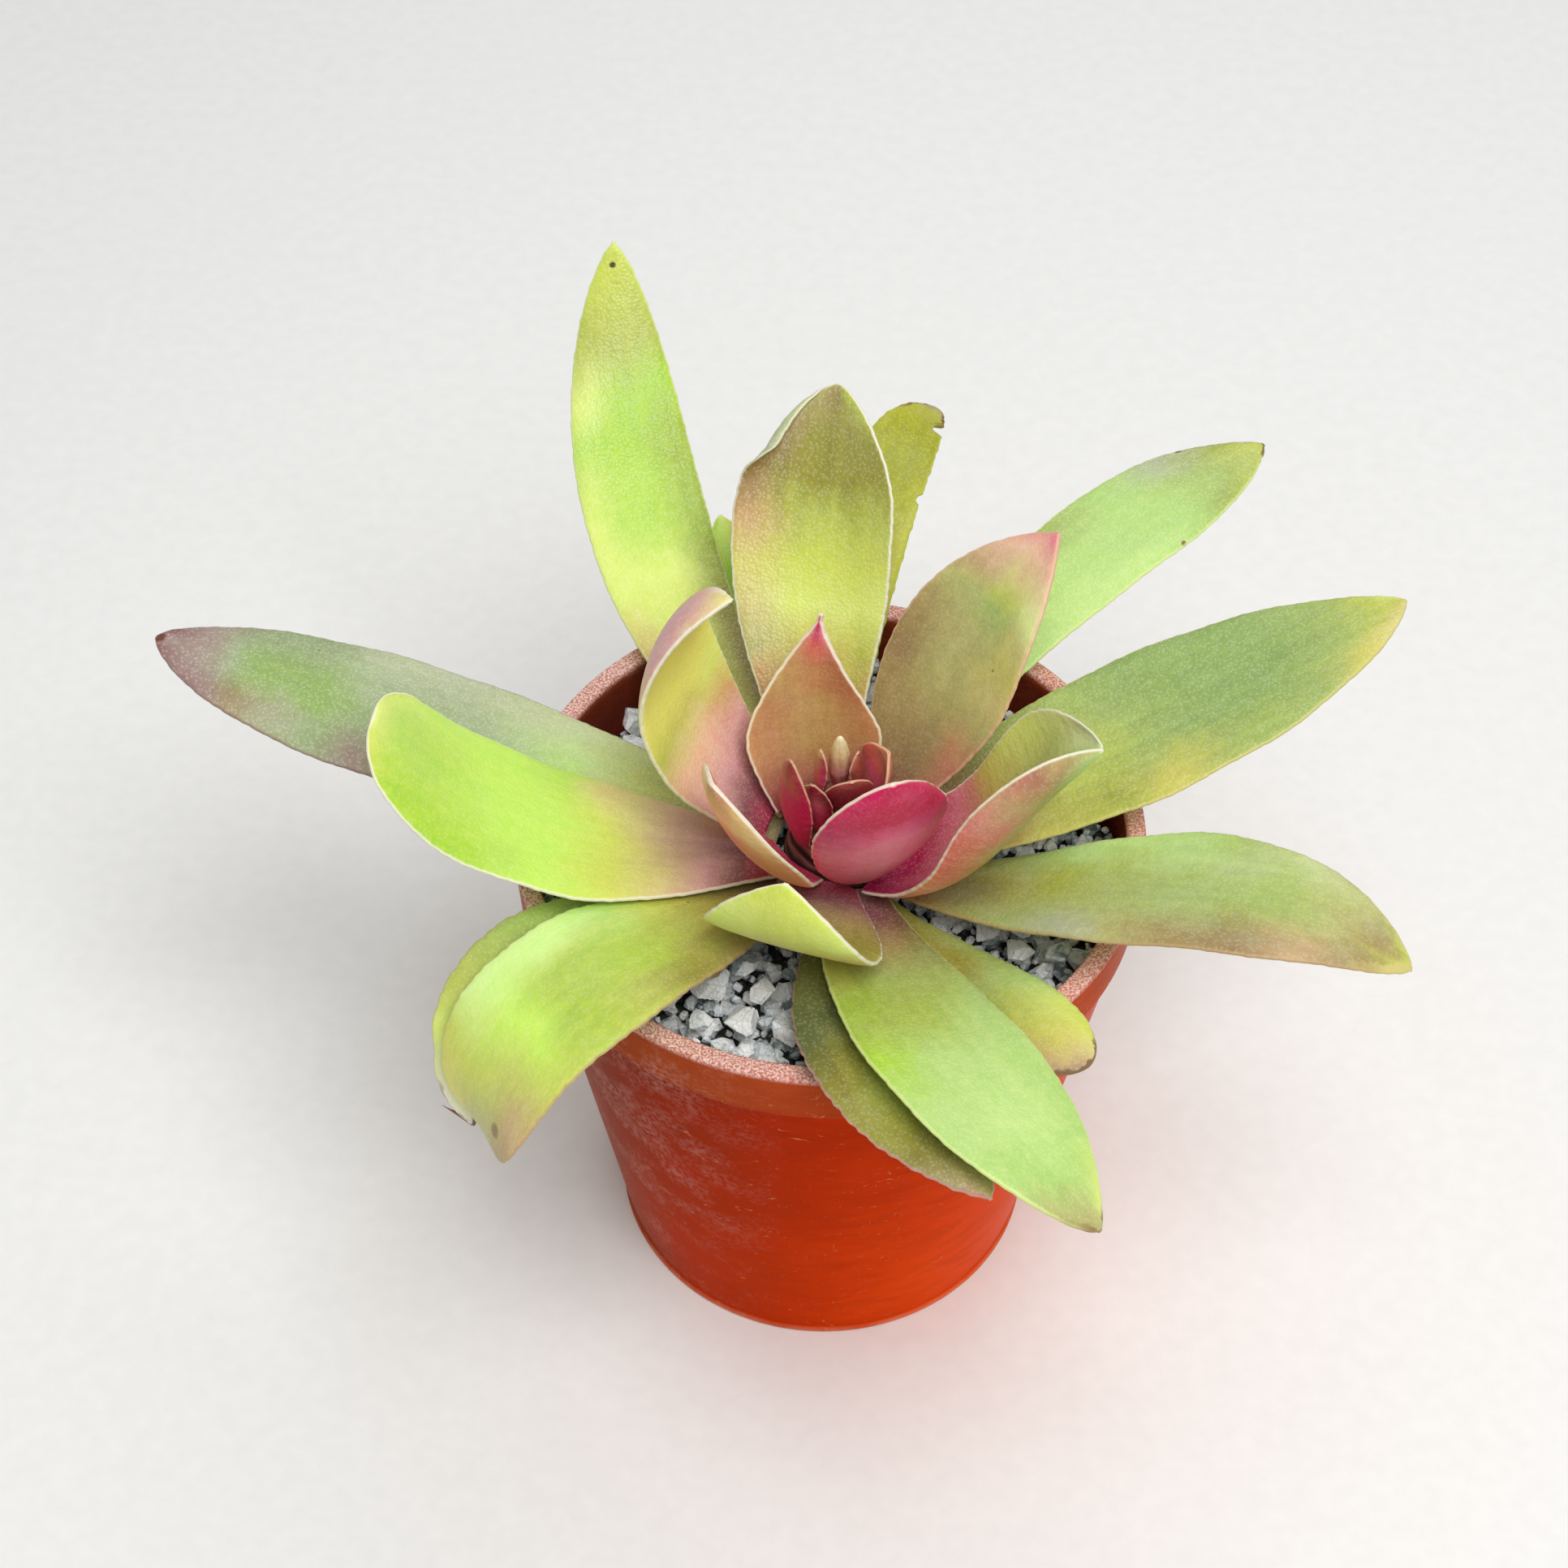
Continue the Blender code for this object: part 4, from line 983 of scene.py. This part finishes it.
    # brown flecks 0.3 to 0.6 mm across, in some of the 6 mm patches
    fleckCells = addNode(tree, "ShaderNodeTexVoronoi", values={"Scale": 1 / 6}, links={"Vector": place})
    chance = addNode(tree, "ShaderNodeSeparateColor", links={"Color": fleckCells.outputs["Color"]})
    chosen = addNode(tree, "ShaderNodeMath", {"operation": "GREATER_THAN"}, {1: leaf.get("fleck", 0.88)},
                     {0: chance})
    near = addNode(tree, "ShaderNodeMapRange", values={"From Min": 0.02, "From Max": 0.05, "To Min": 0.8,
                                                       "To Max": 0},
                   links={"Value": fleckCells})
    fleck = addNode(tree, "ShaderNodeMath", {"operation": "MULTIPLY"}, links={0: near, 1: chosen})
    layers.append(("#6a4a22", fleck))
    for s, v, radius, colour in leaf.get("spots", ()):
        centre = (leaf["number"] * 100 + s * leaf["length"], v * float(halfWidth(leaf, s)), 3)
        away = addNode(tree, "ShaderNodeVectorMath", {"operation": "DISTANCE"}, {1: centre},
                       {0: place}).outputs["Value"]
        soft = addNode(tree, "ShaderNodeMath", {"operation": "MULTIPLY_ADD"}, {1: radius * 0.9},
                       {0: blotch, 2: away})
        mask = addNode(tree, "ShaderNodeMapRange",
                       values={"From Min": radius * 1.2, "From Max": radius * 1.7, "To Min": 0.9,
                               "To Max": 0},
                       links={"Value": soft})
        layers.append((paint[colour], mask))
    # the colourless margin
    thin = 0.16 if leaf["length"] < 20 else 0.34
    edge = addNode(tree, "ShaderNodeMapRange", {"interpolation_type": "SMOOTHSTEP"},
                   {"From Min": 0.05, "From Max": thin, "To Min": leaf.get("rimShare", 0.65),
                    "To Max": 0}, {"Value": rim})
    layers.append((paint[leaf.get("rim", "cream")], edge))
    if "crust" in leaf:
        start, width, colour = leaf["crust"]
        ragged = addNode(tree, "ShaderNodeMath", {"operation": "MULTIPLY_ADD"},
                         {1: -3.2 * width, 2: 1.5 * width},
                         {0: blotch})
        reach = addNode(tree, "ShaderNodeMath", {"operation": "ADD"}, links={0: rim, 1: ragged})
        margin = addNode(tree, "ShaderNodeMapRange",
                         values={"From Min": width * 0.3, "From Max": width * 0.6, "To Min": 0.9,
                                 "To Max": 0},
                         links={"Value": reach})
        tipward = addNode(tree, "ShaderNodeMapRange", values={"From Min": start - 0.02,
                                                              "From Max": start + 0.03},
                          links={"Value": alongHere})
        mask = addNode(tree, "ShaderNodeMath", {"operation": "MULTIPLY"}, links={0: margin, 1: tipward})
        layers.append((paint[colour], mask))
    for code, mask in layers:
        skin = addNode(tree, "ShaderNodeMix", {"data_type": "RGBA"}, {7: linearColour(code)},
                       {0: mask, 6: skin}).outputs[2]
    gloss = 0.42 - leaf.get("gloss", 0)
    rough = addNode(tree, "ShaderNodeMapRange",
                    values={"From Min": 0.3, "From Max": 0.7, "To Min": gloss - 0.08,
                            "To Max": gloss + 0.12},
                    links={"Value": blotch})
    waves = addNode(tree, "ShaderNodeBump", values={"Strength": 0.45, "Distance": 0.35 * mm},
                    links={"Height": shading})
    pores = addNode(tree, "ShaderNodeBump", values={"Strength": min(0.35 * grain, 0.6),
                                                    "Distance": 0.12 * mm},
                    links={"Height": cells, "Normal": waves})
    shader = addNode(tree, "ShaderNodeBsdfPrincipled",
                     values={"IOR": 1.42, "Subsurface Weight": 0.2, "Subsurface Scale": 1.1 * mm,
                             "Subsurface Radius": (1.0, 0.9, 0.35)},
                     links={"Base Color": skin, "Roughness": rough, "Normal": pores})
    endMaterial(tree, shader)
    return material


def leafSpine(leaf):
    # The midrib leaves the foot on its rise, a quadratic through the three slopes, and heads
    # to its azimuth, turning by swing; returns its points with the axes of its cross-sections.
    line = np.linspace(0, 1, 2 * plant["fine"] + 1)
    low, mid, high = np.radians(leaf["rise"])
    slope = low + (4 * mid - 3 * low - high) * line + 2 * (low + high - 2 * mid) * line**2
    heading = np.radians(leaf["azimuth"] + leaf["swing"] * line)
    ahead = np.stack([np.cos(slope) * np.cos(heading), np.cos(slope) * np.sin(heading), np.sin(slope)], -1)
    steps = (ahead[1:] + ahead[:-1]) / 2 * leaf["length"] / (len(line) - 1)
    out = plant["stemRadius"] + leaf["root"][0]
    azimuth = math.radians(leaf["azimuth"])
    foot = np.array([out * math.cos(azimuth), out * math.sin(azimuth), leaf["root"][1]])
    rib = foot + np.vstack([np.zeros(3), np.cumsum(steps, 0)])
    side = np.stack([-np.sin(heading), np.cos(heading), 0 * heading], -1)
    above = np.cross(ahead, side)
    roll = np.radians(leaf["roll"][0] + (leaf["roll"][1] - leaf["roll"][0]) * line)[:, None]
    side, above = np.cos(roll) * side + np.sin(roll) * above, np.cos(roll) * above - np.sin(roll) * side
    return line, rib, side, above


def leafTurns(leaf, s, fine):
    # how far the cross-section has turned at each place across: the cup, in proportion, the
    # ripples of the margins, and the curled stretches, whose turn grows to the edge
    cup = np.radians(leaf["cup"][0] + (leaf["cup"][1] - leaf["cup"][0]) * s)
    ripple = np.sin(s * leaf["length"] / 2.6 + 2 * np.sign(fine) + leaf["number"]) * np.abs(fine) ** 3
    turns = cup * fine + np.radians(leaf.get("ripple", 4)) * ripple * np.clip(s * 4 - 0.6, 0, 1)
    for side, start, end, degrees, share in leaf.get("curls", ()):
        held = np.clip((s - start) / 0.1, 0, 1) * np.clip((end - s) / 0.1, 0, 1)
        held = held * held * (3 - 2 * held)
        grown = np.clip((side * fine - 1 + share) / share, 0, 1) ** 2
        turns = turns + side * math.radians(degrees) * held * grown
    return turns


def leafEdges(leaf, s, side):
    # what the jagged margin and the bites leave of the half width, on one side
    far = s * leaf["length"]
    teeth = np.sin(far * 2.1 + side) * np.sin(far * 0.7 + 2 * side)
    teeth = teeth + 0.5 * np.sin(far * 4.3 + side + leaf["number"])
    left = 1 - leaf.get("jag", 0.06) / halfWidth(leaf, s) * teeth
    for which, at, depth, reach in leaf.get("bites", ()):
        bite = np.clip(1 - ((far - at * leaf["length"]) / reach) ** 2, 0, 1) ** 0.5
        left = left - (which == side) * depth * bite / halfWidth(leaf, s)
    return left


def leafGrid(leaf, s, turn):
    # Across and lift are half the width times the sums of the cosine and the sine of the
    # section's turns. The turn runs round the lens on that arc: its cosine is the place
    # across, and its sine the share of the thickness above or below.
    parts = plant["fine"]
    fine = np.linspace(-1, 1, parts + 1)[None]
    turns = leafTurns(leaf, s[:, None], fine)
    sums = [np.cumsum(wave(turns), 1) * (fine[0, 1] - fine[0, 0]) for wave in (np.cos, np.sin)]
    half = halfWidth(leaf, s)[:, None]
    v, height = np.cos(turn), np.sin(turn)
    spot = (v + 1) / 2 * parts
    low = np.clip(spot.astype(int), 0, parts - 1)

    def read(values):
        return values[:, low] + (values[:, low + 1] - values[:, low]) * (spot - low)

    left = np.where(v > 0, leafEdges(leaf, s[:, None], 1), leafEdges(leaf, s[:, None], -1))
    across, lift = (half * left * (read(values) - values[:, parts // 2, None]) for values in sums)
    bend = read(turns)
    thick = plant["edgeShare"] + (1 - plant["edgeShare"]) * (
        (1 - 0.35 * s) * np.clip((1.02 - s) * 8, 0, 1)
        * (plant["thinFoot"] + (1 - plant["thinFoot"]) * np.clip(s / 0.3, 0, 1)))
    thick = leaf["thick"] / 2 * thick[:, None] * np.sqrt(np.clip((1 - s) / 0.012, 0.05, 1))[:, None]
    offset = thick * np.sign(height) * np.abs(height) ** 0.85
    across = across - offset * np.sin(bend)
    lift = lift + offset * np.cos(bend)
    line, rib, side, above = leafSpine(leaf)

    def at(values):
        return np.stack([np.interp(s, line, values[:, i]) for i in range(3)], -1)[:, None]

    points = at(rib) + across[..., None] * at(side) + lift[..., None] * at(above)
    return points + np.array([plant["x"], plant["y"], plant["rest"]])


def makeLeaf(name, leaf):
    share = np.linspace(0, 1, plant["rows"])
    s = 0.4 * share + 0.6 * np.sin(np.pi / 2 * share)  # rows crowd towards the tip
    turn = np.linspace(0, math.tau, plant["around"], endpoint=False)
    piece = closedSkin("skin_" + name, leafGrid(leaf, s, turn), leafSkin(name, leaf))
    half = halfWidth(leaf, s)[:, None]
    v = np.cos(turn) + 0 * half
    along = s[:, None] + 0 * v
    spot = np.stack([along * leaf["length"] + 100 * leaf["number"], v * half,
                     3 * np.sign(np.sin(turn)) + 0 * v], -1)
    data = dict(
        along=along, across=v, upper=np.clip(np.sin(turn) * 4, -1, 1) / 2 + 0.5 + 0 * v,
        rim=np.minimum((1 - np.abs(v)) * half, (1 - along) * leaf["length"]), leafPlace=spot)
    for word, values in data.items():
        flat = values.reshape(-1, *values.shape[2:])
        addPieceData(piece, word, np.concatenate([flat, [values[0].mean(0)], [values[-1].mean(0)]]))
    placePiece(piece, leaf["slot"], name)


for number, (name, leaf) in enumerate(leaves.items()):
    leaf["number"] = number
    makeLeaf(name, leaf)
print("leaves:", len(leaves))


def stemBark():
    # The stem's corky skin: matt wine brown, ringed by old leaf scars.
    material, tree = newMaterial("corky stem")
    spot = addNode(tree, "ShaderNodeTexCoord").outputs["Object"]
    rings = addNode(tree, "ShaderNodeTexWave", {"bands_direction": "Z"},
                    {"Scale": 1 / (6 * mm), "Distortion": 4, "Detail": 3}, {"Vector": spot})
    colour = addNode(tree, "ShaderNodeValToRGB", {"stops": [
        (0.1, linearColour("#3a141e")), (0.5, linearColour("#6a2a3a")), (0.9, linearColour("#84504a")),
    ]}, links={"Fac": rings})
    relief = addNode(tree, "ShaderNodeBump", values={"Strength": 0.6, "Distance": 0.4 * mm},
                     links={"Height": rings})
    shader = addNode(tree, "ShaderNodeBsdfPrincipled", values={"Roughness": 0.7},
                     links={"Base Color": colour, "Normal": relief})
    endMaterial(tree, shader)
    return material


def budSkin():
    # A closed flower bud: soft cream petals, pink at the foot and green-gold at the tip.
    material, tree = newMaterial("bud petal")
    spot = addNode(tree, "ShaderNodeTexCoord").outputs["Object"]
    parts = addNode(tree, "ShaderNodeSeparateXYZ", links={0: spot})
    low, high = (corner.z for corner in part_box("bud"))
    level = addNode(tree, "ShaderNodeMapRange", values={"From Min": low, "From Max": high},
                    links={"Value": parts.outputs["Z"]})
    grain = addNode(tree, "ShaderNodeTexNoise", values={"Scale": 1 / (0.6 * mm), "Detail": 4},
                    links={"Vector": spot})
    colour = addNode(tree, "ShaderNodeValToRGB", {"stops": [
        (0.0, linearColour("#8a2a40")), (0.4, linearColour("#d08c80")), (0.75, linearColour("#e8d49a")),
        (1.0, linearColour("#f0eac0")),
    ]}, links={"Fac": level})
    speckled = addNode(tree, "ShaderNodeMix", {"data_type": "RGBA", "blend_type": "OVERLAY"}, {0: 0.4},
                       {6: colour, 7: grain})
    relief = addNode(tree, "ShaderNodeBump", values={"Strength": 0.4, "Distance": 0.2 * mm},
                     links={"Height": grain})
    shader = addNode(tree, "ShaderNodeBsdfPrincipled",
                     values={"Roughness": 0.45, "Subsurface Weight": 0.3, "Subsurface Scale": 1 * mm},
                     links={"Base Color": speckled.outputs[2], "Normal": relief})
    endMaterial(tree, shader)
    return material


def makeStem(material):
    # the CAD stem's outline, softened, with shallow rings pressed in where leaves fell
    low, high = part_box("stem")[0].z / mm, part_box("stem")[1].z / mm
    heights = [high, high - 0.5, high - 2.5, high - 6, high - 10, high - 14]
    heights += [plant["rest"] + (low - plant["rest"]) * k for k in (0.25, 0.6, 1)]
    shares = [0.12, 0.24, 0.48, 0.74, 0.94, 1.0, 0.9, 0.55, 0.25]
    corners = [(plant["stemRadius"] * k, z, 1.2) for z, k in zip(heights, shares)]
    outline = softened([(0, high, 0)] + corners + [(0, low, 0)], spacing=0.6)[1:-1]
    turn = np.linspace(0, math.tau, 96, endpoint=False)
    r, z = outline[:, :1], outline[:, 1:]
    r = r * (0.985 - 0.015 * np.sin(z * 2.6 + 2 * turn))
    grid = np.stack([plant["x"] + r * np.cos(turn), plant["y"] + r * np.sin(turn), z + 0 * turn], -1)
    placePiece(closedSkin("corky_stem", grid, material), "stem", "stem")


def makeBud(material):
    # five petals furled about each other: the radius dips at each seam, which winds upward
    low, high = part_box("bud")
    radius, foot, tall = (high.x - low.x) / 2 / mm, low.z / mm, (high.z - low.z) / mm
    h = np.linspace(0, 1, 50)[:, None]
    turn = np.linspace(0, math.tau, 60, endpoint=False)
    shape = np.interp(h, [0, 0.12, 0.36, 0.66, 0.86, 0.97, 1], [0.45, 0.7, 1, 0.85, 0.55, 0.28, 0.08])
    seams = 1 - 0.09 * np.abs(np.cos(2.5 * turn + 1.6 * h)) ** 6 - 0.02
    r = radius * shape * seams
    grid = np.stack([plant["x"] + r * np.cos(turn), plant["y"] + r * np.sin(turn),
                     foot + tall * h + 0 * turn], -1)
    placePiece(closedSkin("furled_bud", grid, material), "bud_cream", "bud")


makeStem(stemBark())
makeBud(budSkin())
print("stem and bud made")


def makeFloor():
    # a plain pale sheet
    material, tree = newMaterial("matt white sheet")
    spot = addNode(tree, "ShaderNodeTexCoord").outputs["Object"]
    fibre = addNode(tree, "ShaderNodeTexNoise", values={"Scale": 1 / (3 * mm), "Detail": 3},
                    links={"Vector": spot})
    colour = addNode(tree, "ShaderNodeValToRGB", {"stops": [
        (0.3, linearColour("#f4f4f2")), (0.7, linearColour("#f8f8f6")),
    ]}, links={"Fac": fibre})
    shader = addNode(tree, "ShaderNodeBsdfPrincipled", values={"Roughness": 0.9},
                     links={"Base Color": colour})
    endMaterial(tree, shader)
    corners = np.array([(-2000, -2000, 0), (2000, -2000, 0), (2000, 2000, 0), (-2000, 2000, 0)])
    floor = meshPiece("floor", corners, np.array([[0, 1, 2, 3]]), material)


lighting = dict(
    sky=0.4,
    lamps=[
        dict(name="key", place=(0.14, -0.3, 0.75), size=0.4, power=4.0),
        dict(name="fill", place=(0.1, 0.4, 0.6), size=0.3, power=0.7),
    ],
)


def addLights(look):
    scene = bpy.context.scene
    scene.world = scene.world or bpy.data.worlds.new("studio")
    scene.world.use_nodes = True
    tree = scene.world.node_tree
    tree.nodes.clear()
    sky = addNode(tree, "ShaderNodeBackground", values={"Color": (1, 1, 1, 1), "Strength": look["sky"]})
    addNode(tree, "ShaderNodeOutputWorld", links={"Surface": sky})
    for lamp in look["lamps"]:
        light = bpy.data.lights.new(lamp["name"], "AREA")
        light.energy, light.size = lamp["power"], lamp["size"]
        stand = bpy.data.objects.new(lamp["name"], light)
        stand.location = lamp["place"]
        aim = Vector((0, 0, 0.06)) - stand.location
        stand.rotation_euler = aim.to_track_quat("-Z", "Y").to_euler()
        scene.collection.objects.link(stand)
    scene.view_settings.view_transform = "Standard"


makeFloor()
addLights(lighting)
print("studio lit")
